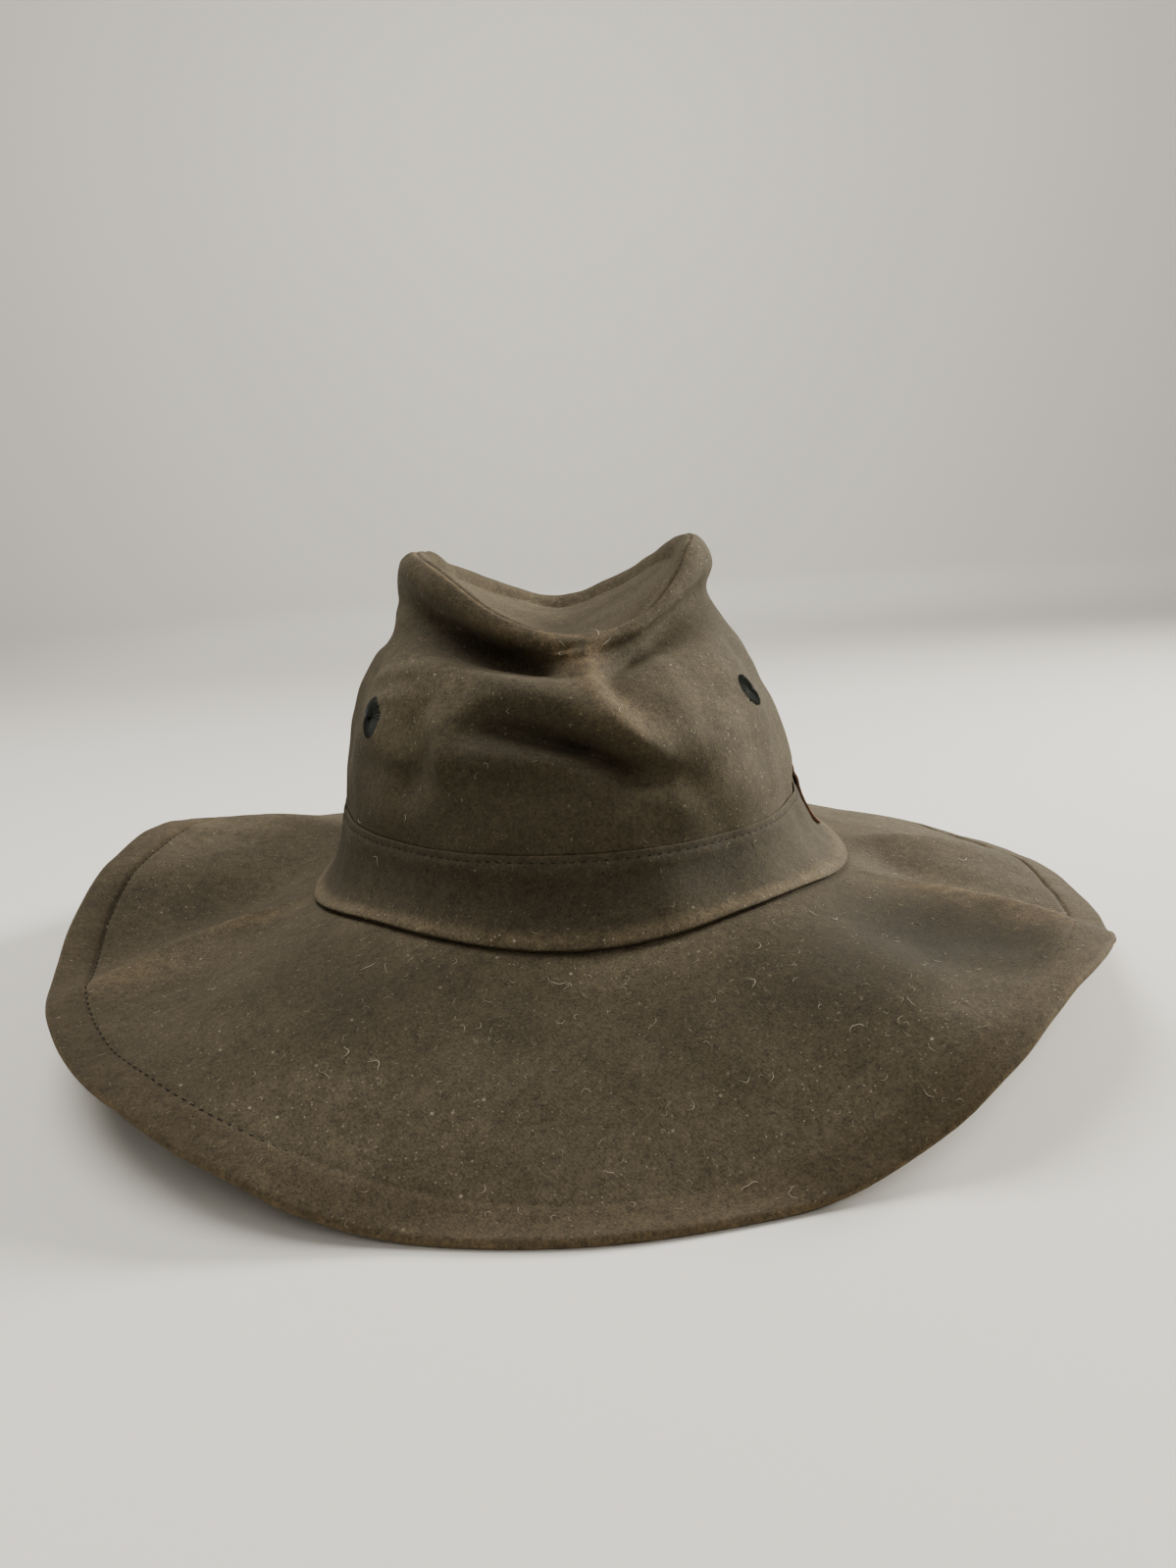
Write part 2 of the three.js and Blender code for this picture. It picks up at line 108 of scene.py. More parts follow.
# Folds pressed into the crown. Each runs through points of azimuth, level and push (out is positive), and
# spreads so many millimetres to the left and to the right of its line. Power 1 is a sharp crease, and 2,
# where none is given, a round fold. Taper scales the spread at the two ends. Rise is how much of a push
# follows the slope of the cloth up or down, and droop lets the cloth hang down over what is under it.
crownFolds = {
    "leftLipHollow": {"path": [(-88, 9.9, -1), (-72, 9.8, -5), (-58, 9.55, -8.5), (-45, 9.4, -10.5),
        (-33, 9.3, -11), (-23, 9.15, -10.5), (-15, 9.0, -9), (-9, 8.85, -7), (-4, 8.7, -4.5),
        (0, 8.55, -1.5)], "spread": (9, 3.2), "taper": (1.1, 0.3), "power": 2.2},
    "leftShoulder": {"path": [(-76, 9.0, 1), (-60, 8.8, 2.2), (-45, 8.6, 3), (-31, 8.45, 3.5),
        (-16, 8.2, 3.5), (-7, 8.05, 2.6), (3, 7.9, 1.5)], "spread": (3, 8)},
    "rightLipHollow": {"path": [(15, 7.5, -1.5), (17, 8.0, -4), (26, 8.5, -5), (41, 8.9, -5),
        (56, 9.15, -4.5), (70, 9.7, -1)], "spread": (6.5, 6.5), "taper": (0.45, 1.1)},
    "frontColumn": {"path": [(8, 10.5, 0.8), (8.5, 10, 2.8), (9, 9.4, 5), (9.5, 8.8, 5.8), (10, 8.2, 4.8),
        (11, 7.7, 3.8), (13.5, 7.2, 2.6), (16, 6.6, 1.5)], "spread": (4.2, 5), "taper": (1.3, 0.8),
        "rise": 0.1},
    "frontBulge": {"path": [(-29, 7.0, 0.6), (-22, 7.35, 2), (-15, 7.65, 3), (-7, 7.7, 3.8), (1, 7.5, 4.4),
        (8, 7.1, 4.8), (14, 6.5, 4.4), (19, 5.9, 2.8), (22, 5.4, 1)], "spread": (6.5, 4.5), "droop": 0.2},
    "frontTuck": {"path": [(-25, 6.7, -1.5), (-17, 6.85, -5.5), (-9, 6.7, -8.5), (-1, 6.5, -11.5),
        (5, 6.15, -13), (10, 5.75, -13), (14, 5.4, -11.5), (17.5, 5.1, -6.5), (20, 4.95, -2)],
        "spread": (5, 3.7), "taper": (1.2, 0.7)},
    "leftHump": {"path": [(-31, 7.0, 1), (-29, 6.5, 2.6), (-27, 5.5, 2.8), (-23, 4.7, 1.2)],
        "spread": (3.5, 3.5)},
    "leftDents": {"path": [(-41, 6.4, -3), (-37, 5.6, -4), (-39, 4.8, -3)], "spread": (8, 7)},
    "beakDent": {"path": [(22, 4.95, -1.6), (27, 4.75, -1)], "spread": (3, 5)},
    "rightCheek": {"path": [(29, 7.2, 1.5), (31, 6.6, 1.5), (36, 5, 2)], "spread": (14, 14)},
    "leftWrinkle": {"path": [(-66, 7.5, 0.5), (-56, 7.9, 0.9), (-44, 8.1, 0.6)], "spread": (2.2, 2.6)},
    "leftWrinkleLow": {"path": [(-60, 6.9, 0.5), (-50, 7.3, 0.8), (-38, 7.5, 0.5)], "spread": (2.4, 2.8)},
    "centreSeam": {"path": [(1.2, 2.6, -0.35), (1.2, 5.6, -0.35)], "spread": (1, 1)},
    "bandHollow": {"path": [(-22, 1.9, -0.6), (-6, 1.9, -1.6), (10, 2.1, -1.2), (30, 1.8, -1)],
        "spread": (5, 6)},
    "backPinch": {"path": [(162, 8.8, -2), (200, 8.8, -3)], "spread": (9, 9)},
    "backDent": {"path": [(150, 6.2, -2), (178, 5.4, -2.5), (196, 5.6, -1)], "spread": (7, 8)},
    "backCrease": {"path": [(206, 7.6, -0.8), (220, 6.8, -1.6), (238, 6.4, -0.8)], "spread": (3, 5)},
}

# How far the lip's crest stands lower than its even curve, by azimuth
rimDrop = {
    -90: 0, -75: -0.6, -60: -2.4, -45: -3, -32: -1.8, -20: 0, -8: 1.1, 0: 2.2, 8: 3, 15: 4.1, 22: 5.6,
    30: 6.9, 40: 6.4, 47: 5.3, 53: 4, 60: 2.4, 68: 1, 90: 0, 130: 0, 152: 1, 165: 2.2, 178: 2.9, 192: 1.8,
    205: 0.3, 230: 0,
}
rimDropStep = 0.1
rimSoftness = np.hanning(121)  # over 12 degrees
rimDropTable = np.interp(
    np.arange(0, 360, rimDropStep), np.array(list(rimDrop), float), list(rimDrop.values()), period=360)
rimDropTable = np.convolve(np.tile(rimDropTable, 3), rimSoftness / rimSoftness.sum(), "same")
rimDropTable = rimDropTable[len(rimDropTable) // 3:2 * len(rimDropTable) // 3]

# The brim

brim = {
    "cloth": 2.4,
    "width": 79,
    "hemWidth": 11,
    "tuck": 2.2,  # how far the seam allowance runs in under the crown
    "underHem": 0.7,  # and in under the hem
    "sag": 0.2,
    "settling": 3,
    "footLift": 0.25,
    "around": 400,
    "rows": 60,
    "rowCrowding": 0.9,
    "crumples": ((46, 7, 0.5), (15, 8, 0.125)),  # size, seed, height
    "crumpleClear": 6,  # over the floor
    "crumpleGrowth": 6,  # they are full at this part of the way out
    "edge": {
        # azimuth: height of the edge over the seam, reach of the cloth
        0: (-35, 80), 12: (-33.5, 79.5), 22: (-25.5, 79.5), 32: (-9.5, 79.5), 42: (-2.5, 76.5),
        54: (-5.5, 77.8), 66: (-14, 78), 78: (-19, 79), 96: (-20, 79), 116: (-23, 79),
        142: (-26, 79), 180: (-35, 79), 205: (-28, 79), 220: (-13, 80.5), 236: (-1, 80.5),
        252: (8.5, 80.5), 266: (5.5, 79), 276: (-1.5, 79), 286: (-8, 79), 300: (-8, 80),
        312: (-10.5, 80.5), 324: (-15, 80.5), 336: (-22.5, 80.5), 348: (-31.5, 79.5),
    },
    "creases": {
        # azimuth at the seam, azimuth at the edge, spread, power, heights from the seam to the edge
        "rightCorner": (68, 56, 5, 1.2, (0, 2.6, 3.6, 5, 4.5)),
        "behindCorner": (81, 69, 7, 2, (0, -3.5, -4.5, -4, -1.5)),
        "underCorner": (50, 42, 9, 2, (0, -4.5, -6, -5, -1)),
        "rightRidge": (92, 92, 6, 1.6, (0, 3.5, 4.5, 3, 0)),
        "leftRidge": (-81, -60, 4.2, 1.2, (0, 3.6, 4.8, 4.6, 1.2)),
        "leftFall": (-80, -62, 26, 2, (0, -4, -4.5, -3.5, -0.3)),
        "leftValley": (-95, -75, 8, 2, (0, -3.2, -4.6, -4, 0)),
        "leftSlope": (-66, -46, 9, 2, (0, -2, -2.5, -2, 0)),
        "rearLeftRidge": (-114, -118, 7, 1.6, (0, 3, 4, 3, 0)),
    },
}


def turnBetween(a, b):
    return (a - b + 180) % 360 - 180


def blendTo(a, b, share):
    return a + (b - a) * share


def unit(values):
    return np.clip(values, 0, 1)


def peak(away, spread, power=2):
    # 1 in the middle, soft down to nothing past the spread
    return np.exp(-(np.abs(away / spread) ** power))


def smoothAt(values, place, closed=False):
    # a smooth curve through values a step apart
    count = len(values)
    low = np.floor(place).astype(int)
    share = place - low
    share = share.reshape(share.shape + (1,) * (values.ndim - 1))
    pick = [values[(low + k) % count if closed else np.clip(low + k, 0, count - 1)] for k in (-1, 0, 1, 2)]
    a, b, c, d = pick
    cubic = (3 * (b - c) + d - a) * share + (2 * a - 5 * b + 4 * c - d)
    return b + 0.5 * share * (c - a + share * cubic)


def softNoise(points, size, seed, waves=20):
    # slow waves in random directions, about as long as size
    source = np.random.default_rng(seed)
    total = np.zeros(points.shape[:-1])
    for _ in range(waves):
        direction = source.normal(size=3)
        direction *= 2 * math.pi / (size * source.uniform(0.7, 1.6) * np.linalg.norm(direction))
        total += np.sin(points @ direction + source.uniform(0, 2 * math.pi))
    return total / math.sqrt(waves / 2)


def normalOf(surface, at, place, step=0.02, turn=0.5):
    around = surface(at + turn, place) - surface(at - turn, place)
    along = surface(at, place + step) - surface(at, place - step)
    normal = np.cross(around, along)
    return normal / np.maximum(np.linalg.norm(normal, axis=-1, keepdims=True), 1e-9)


def foldPush(fold, points):
    # how far one fold moves each point, by the distance to the fold's line on the plain form
    path = np.array(fold["path"], float)
    line = smoothAt(path, np.linspace(0, len(path) - 1, 4 * len(path) - 3))
    corners = crownForm(line[:, 0], line[:, 1])
    leftSpread, rightSpread = fold["spread"]
    taper = fold.get("taper", (1, 1))
    reach = crown["foldReach"] * max(fold["spread"]) * max(taper)
    near = np.all((points > corners.min(0) - reach) & (points < corners.max(0) + reach), axis=-1)
    close = points[near]
    nearest = np.full(len(close), np.inf)
    amount = np.zeros(len(close))
    for i in range(len(line) - 1):
        step = corners[i + 1] - corners[i]
        length = np.linalg.norm(step)
        share = unit((close - corners[i]) @ step / length ** 2)
        off = close - corners[i] - share[:, None] * step
        away = np.linalg.norm(off, axis=1)
        ahead = off @ step / length
        onLeft = np.cross(step, off) @ (corners[i] * (1, 1, 0)) > 0
        aside = np.sqrt(np.maximum(away ** 2 - ahead ** 2, 0)) / np.where(onLeft, leftSpread, rightSpread)
        even = 2 * ahead / (leftSpread + rightSpread)
        off = np.hypot(aside, even) / blendTo(*taper, (i + share) / (len(line) - 1))
        pressed = blendTo(line[i, 2], line[i + 1, 2], share) * peak(off, 1, fold.get("power", 2))
        amount = np.where(away < nearest, pressed, amount)
        nearest = np.minimum(away, nearest)
    push = np.zeros(points.shape[:-1])
    push[near] = amount
    return push


def crownForm(at, level):
    # the crown's plain form, before its folds
    side, front, back, zSide, zFront, zBack, rise, corner, shift, tilt = np.moveaxis(
        smoothAt(sectionTable, np.asarray(level, float)), -1, 0)
    turn = np.radians(at)
    sine, cosine = np.sin(turn), np.cos(turn)
    frontShare = 0.5 + 0.5 * cosine
    height = blendTo(blendTo(zBack, zFront, frontShare), zSide, np.abs(sine) ** rise)
    height = height + corner * frontShare * np.sin(2 * turn) ** 2 - tilt * sine
    rising = unit((level - levelOf["upperShoulder"]) / crown["dropOver"])
    height = height - rimDropTable[np.rint(at / rimDropStep).astype(int) % len(rimDropTable)] * rising
    length = np.where(cosine > 0, front, back)
    return np.stack([side * sine + shift, -length * cosine, height], -1)


def foldedCrown():
    # the crown with its folds, kept as a fine table of points over azimuth and level
    at = np.arange(0, 360, crown["fineAt"])
    level = np.arange(crown["lowest"], crown["highest"], crown["fineLevel"])
    at, level = np.meshgrid(at, level, indexing="ij")
    form = crownForm(at, level)
    out = normalOf(crownForm, at, level, crown["smoothOver"])
    moved = np.zeros(form.shape)
    for fold in crownFolds.values():
        leaning = out * (1, 1, fold.get("rise", crown["pushRise"]))
        leaning /= np.linalg.norm(leaning, axis=-1, keepdims=True)
        leaning[..., 2] -= fold.get("droop", 0)
        moved += foldPush(fold, form)[..., None] * leaning
    for _ in range(crown["softenings"]):
        moved = 0.5 * moved + 0.25 * (np.roll(moved, 1, 0) + np.roll(moved, -1, 0))
        moved[:, 1:-1] = 0.5 * moved[:, 1:-1] + 0.25 * (moved[:, 2:] + moved[:, :-2])
    belowCrest = unit((crown["rimSeam"] - level) / crown["foldEnd"])
    moved *= (belowCrest * belowCrest * (3 - 2 * belowCrest))[..., None]
    crumple = sum(strength * softNoise(form, size, seed) for size, seed, strength in crown["crumples"])
    crumple *= crown["crumple"] * unit(level / crown["crumpleFrom"])
    return form + moved + out * crumple[..., None]


def curveWeights(place):
    low = np.floor(place)
    share = place - low
    weights = [share * (share * (2 - share) - 1), share ** 2 * (3 * share - 5) + 2,
               share * (share * (4 - 3 * share) + 1), share ** 2 * (share - 1)]
    return low.astype(int), [weight / 2 for weight in weights]


def crownSurface(at, level):
    at, level = np.broadcast_arrays(np.asarray(at, float), np.asarray(level, float))
    column, across = curveWeights((at % 360) / crown["fineAt"])
    row, along = curveWeights((level - crown["lowest"]) / crown["fineLevel"])
    total = 0
    for i in range(4):
        columns = (column + i - 1) % crownTable.shape[0]
        for j in range(4):
            rows = np.clip(row + j - 1, 0, crownTable.shape[1] - 1)
            total = total + crownTable[columns, rows] * (across[i] * along[j])[..., None]
    return total


def crownOut(at, level):
    return normalOf(crownSurface, at, level)


def overCrown(at, level, out):
    return crownSurface(at, level) + crownOut(at, level) * out[:, None]


crownTable = foldedCrown()

brimEdgeAt = np.array(list(brim["edge"]), float)
brimEdgeTable = np.array(list(brim["edge"].values()), float)


def settled(height, lowest):
    # cloth that would hang below the surface bends softly and lies flat on it
    over = height - lowest
    soft = brim["settling"]
    bent = lowest + (np.maximum(over, -soft) + soft) ** 2 / (4 * soft)
    return np.where(over >= soft, height, bent)


def brimForm(at, place):
    at, place = np.broadcast_arrays(np.asarray(at, float), np.asarray(place, float))
    turned = at % 360
    count = len(brimEdgeAt)
    row = np.searchsorted(brimEdgeAt, turned, side="right") - 1
    following = np.append(brimEdgeAt[1:], 360)
    step = (turned - brimEdgeAt[row]) / (following[row] - brimEdgeAt[row])
    edgeHeight, reach = np.moveaxis(smoothAt(brimEdgeTable, row + step, closed=True), -1, 0)
    flat = np.zeros(at.shape)
    seam = crownForm(at, flat)
    along = crownForm(at + 1, flat) - crownForm(at - 1, flat)
    outward = np.stack([along[..., 1], -along[..., 0]], -1)
    outward /= np.linalg.norm(outward, axis=-1, keepdims=True)
    drop = edgeHeight - seam[..., 2]
    run = np.sqrt(reach ** 2 - drop ** 2)
    lift = np.zeros(at.shape)
    for fromAt, toAt, spread, power, heights in brim["creases"].values():
        height = smoothAt(np.array(heights, float), unit(place) * (len(heights) - 1))
        lift += height * peak(turnBetween(at, blendTo(fromAt, toAt, place)), spread, power)
    sag = np.maximum(0, (1 - brim["sag"]) * place + brim["sag"] * place ** 2)
    height = seam[..., 2] + drop * sag + lift - brim["footLift"]
    plan = seam[..., :2] + outward * (run * place)[..., None]
    return np.concatenate([plan, settled(height, brim["cloth"] + floorHeight)[..., None]], -1)


def brimSurface(at, place):
    form = brimForm(at, place)
    free = unit((form[..., 2] - floorHeight - brim["cloth"]) / brim["crumpleClear"])
    free = free * unit(place * brim["crumpleGrowth"])
    for size, seed, height in brim["crumples"]:
        form[..., 2] += free * height * softNoise(form, size, seed)
    return form


def brimUp(at, place):
    return -normalOf(brimSurface, at, place)


# Mesh makers

def selectOnly(obj):
    bpy.ops.object.select_all(action="DESELECT")
    obj.select_set(True)
    bpy.context.view_layer.objects.active = obj


def shadeSmooth(obj, degrees):
    selectOnly(obj)
    bpy.ops.object.shade_smooth_by_angle(angle=math.radians(degrees))


def finishedPiece(obj, name, slot, material, *nodes, smoothUpTo=60):
    obj.name = name
    obj.data.name = name
    obj.data.materials.clear()
    obj.data.materials.append(material)
    shadeSmooth(obj, smoothUpTo)
    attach(obj, "root")
    if nodes:
        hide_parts(*nodes)
    obj.select_set(False)


def ringTube(around, rows):
    # a round tube of one-high rows, extruded from a circle
    bpy.ops.object.select_all(action="DESELECT")
    bpy.ops.mesh.primitive_circle_add(vertices=around, radius=1)
    bpy.ops.object.mode_set(mode="EDIT")
    bpy.ops.mesh.select_all(action="SELECT")
    for _ in range(rows - 1):
        bpy.ops.mesh.extrude_region_move(TRANSFORM_OT_translate={"value": (0, 0, 1)})
    bpy.ops.object.mode_set(mode="OBJECT")
    return bpy.context.active_object


def ringStrip(around, profile):
    # a closed ring with a round profile
    bpy.ops.mesh.primitive_torus_add(
        major_segments=around, minor_segments=profile, major_radius=1, minor_radius=0.25)
    return bpy.context.active_object


def readPoints(obj):
    points = np.empty(len(obj.data.vertices) * 3)
    obj.data.vertices.foreach_get("co", points)
    return points.reshape(-1, 3)


def movePoints(obj, points):
    obj.data.vertices.foreach_set("co", points.ravel())
    obj.data.update()


def writePoints(obj, points):
    # from millimetres over the seam to metres in the frame
    movePoints(obj, points * mm + seamMiddle)


def tubePlaces(obj):
    # the azimuth and row of each point of a ring tube
    points = readPoints(obj)
    return np.degrees(np.arctan2(points[:, 0], -points[:, 1])), np.rint(points[:, 2]).astype(int)


def stripPlaces(obj):
    # the azimuth and angle round the profile of each point of a ring strip
    points = readPoints(obj)
    across = np.hypot(points[:, 0], points[:, 1]) - 1
    return np.degrees(np.arctan2(points[:, 0], -points[:, 1])), np.arctan2(points[:, 2], across)


def crowded(at):
    # draws the columns of the crown's pieces together at the front
    return at - crown["frontCrowding"] * np.sin(np.radians(at))


def readWhole(items, key):
    values = np.empty(len(items), int)
    items.foreach_get(key, values)
    return values


def spots(at, place, rows):
    # a mask summed from soft spots: azimuth, place, spread round, spread along, strength
    total = np.zeros(np.shape(at))
    for spotAt, spotPlace, spreadAt, spreadPlace, strength in rows:
        away = (turnBetween(at, spotAt) / spreadAt) ** 2 + ((place - spotPlace) / spreadPlace) ** 2
        total += strength * np.exp(-away)
    return total


def dressCloth(obj, at, place, across, look, edgeWear=0):
    # a cloth map in metres, round the hat and across the cloth, and the masks that the material reads
    mesh = obj.data
    corners = readWhole(mesh.loops, "vertex_index")
    turns = at[corners].copy()
    first = np.repeat(turns[readWhole(mesh.polygons, "loop_start")], readWhole(mesh.polygons, "loop_total"))
    turns += 360 * np.round((first - turns) / 360)
    mapped = np.stack([np.radians(turns) * look["radius"] * mm, across[corners] * mm], -1)
    mesh.uv_layers.new(name="cloth").data.foreach_set("uv", mapped.ravel())
    masks = {
        "dust": np.clip(look["allOver"] + spots(at, place, look["dust"]), 0, look["dustiest"]),
        "wear": unit(edgeWear + spots(at, place, look.get("wear", ()))),
    }
    # painted shade: a mask of the places where the cloth's colour is darkened to stand for shade
    if "paintedShade" in look:
        masks["paintedShade"] = unit(spots(at, place, look["paintedShade"]))
    for name, values in masks.items():
        layer = mesh.attributes.new(name, "FLOAT", "POINT")
        layer.data.foreach_set("value", np.asarray(values, np.float32))


closeBy = 0.00002  # metres: the last ring of a round sheet is closed to a point


def pointFaces(obj, mergeWithin=0.00001, inward=False):
    selectOnly(obj)
    bpy.ops.object.mode_set(mode="EDIT")
    bpy.ops.mesh.select_all(action="SELECT")
    bpy.ops.mesh.remove_doubles(threshold=mergeWithin)
    bpy.ops.mesh.normals_make_consistent(inside=inward)
    bpy.ops.object.mode_set(mode="OBJECT")


def giveThickness(obj, thickness):
    selectOnly(obj)
    wall = obj.modifiers.new("wall", "SOLIDIFY")
    wall.thickness = thickness * mm
    wall.offset = -1
    wall.use_even_offset = False
    bpy.ops.object.modifier_apply(modifier=wall.name)


# Shader groups and materials

def setInputs(tree, node, inputs):
    for key, value in inputs.items():
        if isinstance(value, bpy.types.NodeSocket):
            tree.links.new(value, node.inputs[key])
        else:
            node.inputs[key].default_value = value


def addNode(tree, kind, inputs=None, **settings):
    made = tree.nodes.new("ShaderNode" + kind)
    for key, value in settings.items():
        setattr(made, key, value)
    setInputs(tree, made, inputs or {})
    return made


def newMaterial(name):
    material = bpy.data.materials.new(name)
    material.use_nodes = True
    tree = material.node_tree
    return material, tree, tree.nodes["Principled BSDF"], addNode(tree, "TexCoord").outputs["Object"]


def mathNode(tree, operation, a, b=0.0, clamp=False):
    return addNode(tree, "Math", {0: a, 1: b}, operation=operation, use_clamp=clamp).outputs[0]


def times(tree, a, b, clamp=False):
    return mathNode(tree, "MULTIPLY", a, b, clamp)


def plus(tree, a, b):
    return mathNode(tree, "ADD", a, b)


def mixColour(tree, share, a, b):
    return addNode(tree, "Mix", {0: share, 6: a, 7: b}, data_type="RGBA").outputs[2]


def rangeNode(tree, value, low, high, toLow=0.0, toHigh=1.0):
    return addNode(tree, "MapRange", {
        "Value": value, "From Min": low, "From Max": high, "To Min": toLow, "To Max": toHigh,
    }).outputs["Result"]


def noiseNode(tree, vector, scale, detail, roughness):
    return addNode(tree, "TexNoise", {
        "Vector": vector, "Scale": scale, "Detail": detail, "Roughness": roughness,
    }).outputs["Fac"]


def newGroup(name, inputs, outputs):
    tree = bpy.data.node_groups.new(name, "ShaderNodeTree")
    for label, kind, value in inputs:
        socket = tree.interface.new_socket(name=label, in_out="INPUT", socket_type="NodeSocket" + kind)
        if value is not None:
            socket.default_value = value
    for label, kind in outputs:
        tree.interface.new_socket(name=label, in_out="OUTPUT", socket_type="NodeSocket" + kind)
    return tree, tree.nodes.new("NodeGroupInput"), tree.nodes.new("NodeGroupOutput")


grainLook = {
    # noises are scale, detail and roughness
    "wobble": (420, 2, 0.55), "wobbleTurns": 3.0, "fuzz": (1400, 4, 0.8), "lumps": (420, 4, 0.7),
    "weaveHeight": 0.07, "lumpHeight": 0.7, "fuzzTone": 0.72, "lumpTone": 0.28,
}


def makeClothGrain():
    # canvas threads and the fuzz over them
    tree, given, result = newGroup("clothGrain", [
        ("Cloth", "Vector", None), ("Surface", "Vector", None), ("Threads per metre", "Float", 1500.0),
    ], [("Height", "Float"), ("Tone", "Float")])
    surface = given.outputs["Surface"]
    axes = addNode(tree, "SeparateXYZ", {0: given.outputs["Cloth"]})
    turns = times(tree, given.outputs["Threads per metre"], math.pi)
    wobble = times(tree, noiseNode(tree, surface, *grainLook["wobble"]), grainLook["wobbleTurns"])
    waves = []
    for axis in ("X", "Y"):
        phase = plus(tree, times(tree, axes.outputs[axis], turns), wobble)
        waves.append(mathNode(tree, "SINE", phase))
    weave = times(tree, waves[0], waves[1])
    fuzz = noiseNode(tree, surface, *grainLook["fuzz"])
    lumps = noiseNode(tree, surface, *grainLook["lumps"])
    height = plus(tree, times(tree, weave, grainLook["weaveHeight"]), fuzz)
    height = plus(tree, height, times(tree, lumps, grainLook["lumpHeight"]))
    tone = plus(tree, times(tree, fuzz, grainLook["fuzzTone"]), times(tree, lumps, grainLook["lumpTone"]))
    setInputs(tree, result, {"Height": height, "Tone": tone})
    return tree


hazeLook = {
    "cloudNoise": (5, 0.62), "streaks": (190, 5, 0.75), "clouds": (0.22, 0.78),
    "upward": (-0.2, 0.9, 0.25, 1.0),  # dust lies on what faces up
    "specks": ((430.0, 0.94), (900.0, 0.8)),  # scale, and the share of cells left empty
    "speckEdge": (0.04, 0.24, 0.8, 0.0), "speckPick": 0.04, "speckAmount": 2.2,
}


def makeDustHaze():
    # pale dust in soft patches, with fine specks in it
    tree, given, result = newGroup("dustHaze", [
        ("Surface", "Vector", None), ("Amount", "Float", 0.5), ("Patch scale", "Float", 40.0),
    ], [("Mask", "Float"), ("Specks", "Float")])
    surface, amount = given.outputs["Surface"], given.outputs["Amount"]
    clouds = noiseNode(tree, surface, given.outputs["Patch scale"], *hazeLook["cloudNoise"])
    streaks = noiseNode(tree, surface, *hazeLook["streaks"])
    clouds = plus(tree, times(tree, clouds, 0.5), times(tree, streaks, 0.5))
    clouds = rangeNode(tree, clouds, *hazeLook["clouds"])
    normal = addNode(tree, "NewGeometry").outputs["Normal"]
    facing = addNode(tree, "SeparateXYZ", {0: normal})
    upward = rangeNode(tree, facing.outputs["Z"], *hazeLook["upward"])
    mask = times(tree, times(tree, clouds, upward), amount, clamp=True)
    specks = None
    for scale, empty in hazeLook["specks"]:
        cells = addNode(tree, "TexVoronoi", {"Vector": surface, "Scale": scale, "Randomness": 1.0})
        dot = rangeNode(tree, cells.outputs["Distance"], *hazeLook["speckEdge"])
        chosen = addNode(tree, "SeparateColor", {0: cells.outputs["Color"]})
        picked = rangeNode(tree, chosen.outputs["Red"], empty, empty + hazeLook["speckPick"])
        dot = times(tree, dot, picked)
        specks = dot if specks is None else mathNode(tree, "MAXIMUM", specks, dot)
    specks = times(tree, specks, times(tree, amount, hazeLook["speckAmount"]), clamp=True)
    setInputs(tree, result, {"Mask": mask, "Specks": specks})
    return tree


clothGrain = makeClothGrain()
dustHaze = makeDustHaze()


def makeCloth(name, values):
    # waxed cotton: dark cloth, its lighter fuzz, worn places, the dust on it and painted shade
    material, tree, shader, surface = newMaterial(name)
    cloth = addNode(tree, "UVMap", uv_map="cloth").outputs["UV"] if values["mapped"] else surface
    dust, wear, paintedShade = (addNode(tree, "Attribute", attribute_name=mask).outputs["Fac"]
                       for mask in ("dust", "wear", "paintedShade"))
    grain = addNode(tree, "Group", {
        "Cloth": cloth, "Surface": surface, "Threads per metre": values["threads"],
    }, node_tree=clothGrain)
    haze = addNode(tree, "Group", {
        "Surface": surface, "Patch scale": values["patchScale"], "Amount": times(tree, dust, values["dust"]),
    }, node_tree=dustHaze)

    def broken(name):
        noise, limits = values[name]
        return rangeNode(tree, noiseNode(tree, surface, *noise), *limits)

    colour = mixColour(tree, broken("stains"), values["dark"], values["light"])
    colour = mixColour(tree, times(tree, wear, broken("wearBreaks"), clamp=True), colour, values["worn"])
    colour = mixColour(tree, haze.outputs["Mask"], colour, values["dustColour"])
    # painted shade: the cloth's colour is drawn darker where its mask lies
    colour = mixColour(tree, times(tree, paintedShade, broken("paintedShadeBreaks"), clamp=True), colour, values["waxed"])
    tone = rangeNode(
        tree, grain.outputs["Tone"], *values["toneRange"], 1 - values["contrast"], 1 + values["contrast"])
    toned = addNode(tree, "VectorMath", {0: colour, "Scale": tone}, operation="SCALE")
    colour = mixColour(tree, haze.outputs["Specks"], toned.outputs[0], values["speckColour"])
    rough = rangeNode(tree, haze.outputs["Mask"], 0, 1, values["roughness"], values["dustRoughness"])
    bump = addNode(tree, "Bump", {
        "Height": grain.outputs["Height"], "Strength": values["bump"], "Distance": values["bumpDepth"] * mm,
    })
    setInputs(tree, shader, {
        "Base Color": colour, "Roughness": rough, "Normal": bump.outputs["Normal"],
        "Specular IOR Level": values["specular"], "Sheen Weight": values["sheen"],
        "Sheen Roughness": values["sheenRoughness"], "Sheen Tint": values["dustColour"],
    })
    return material


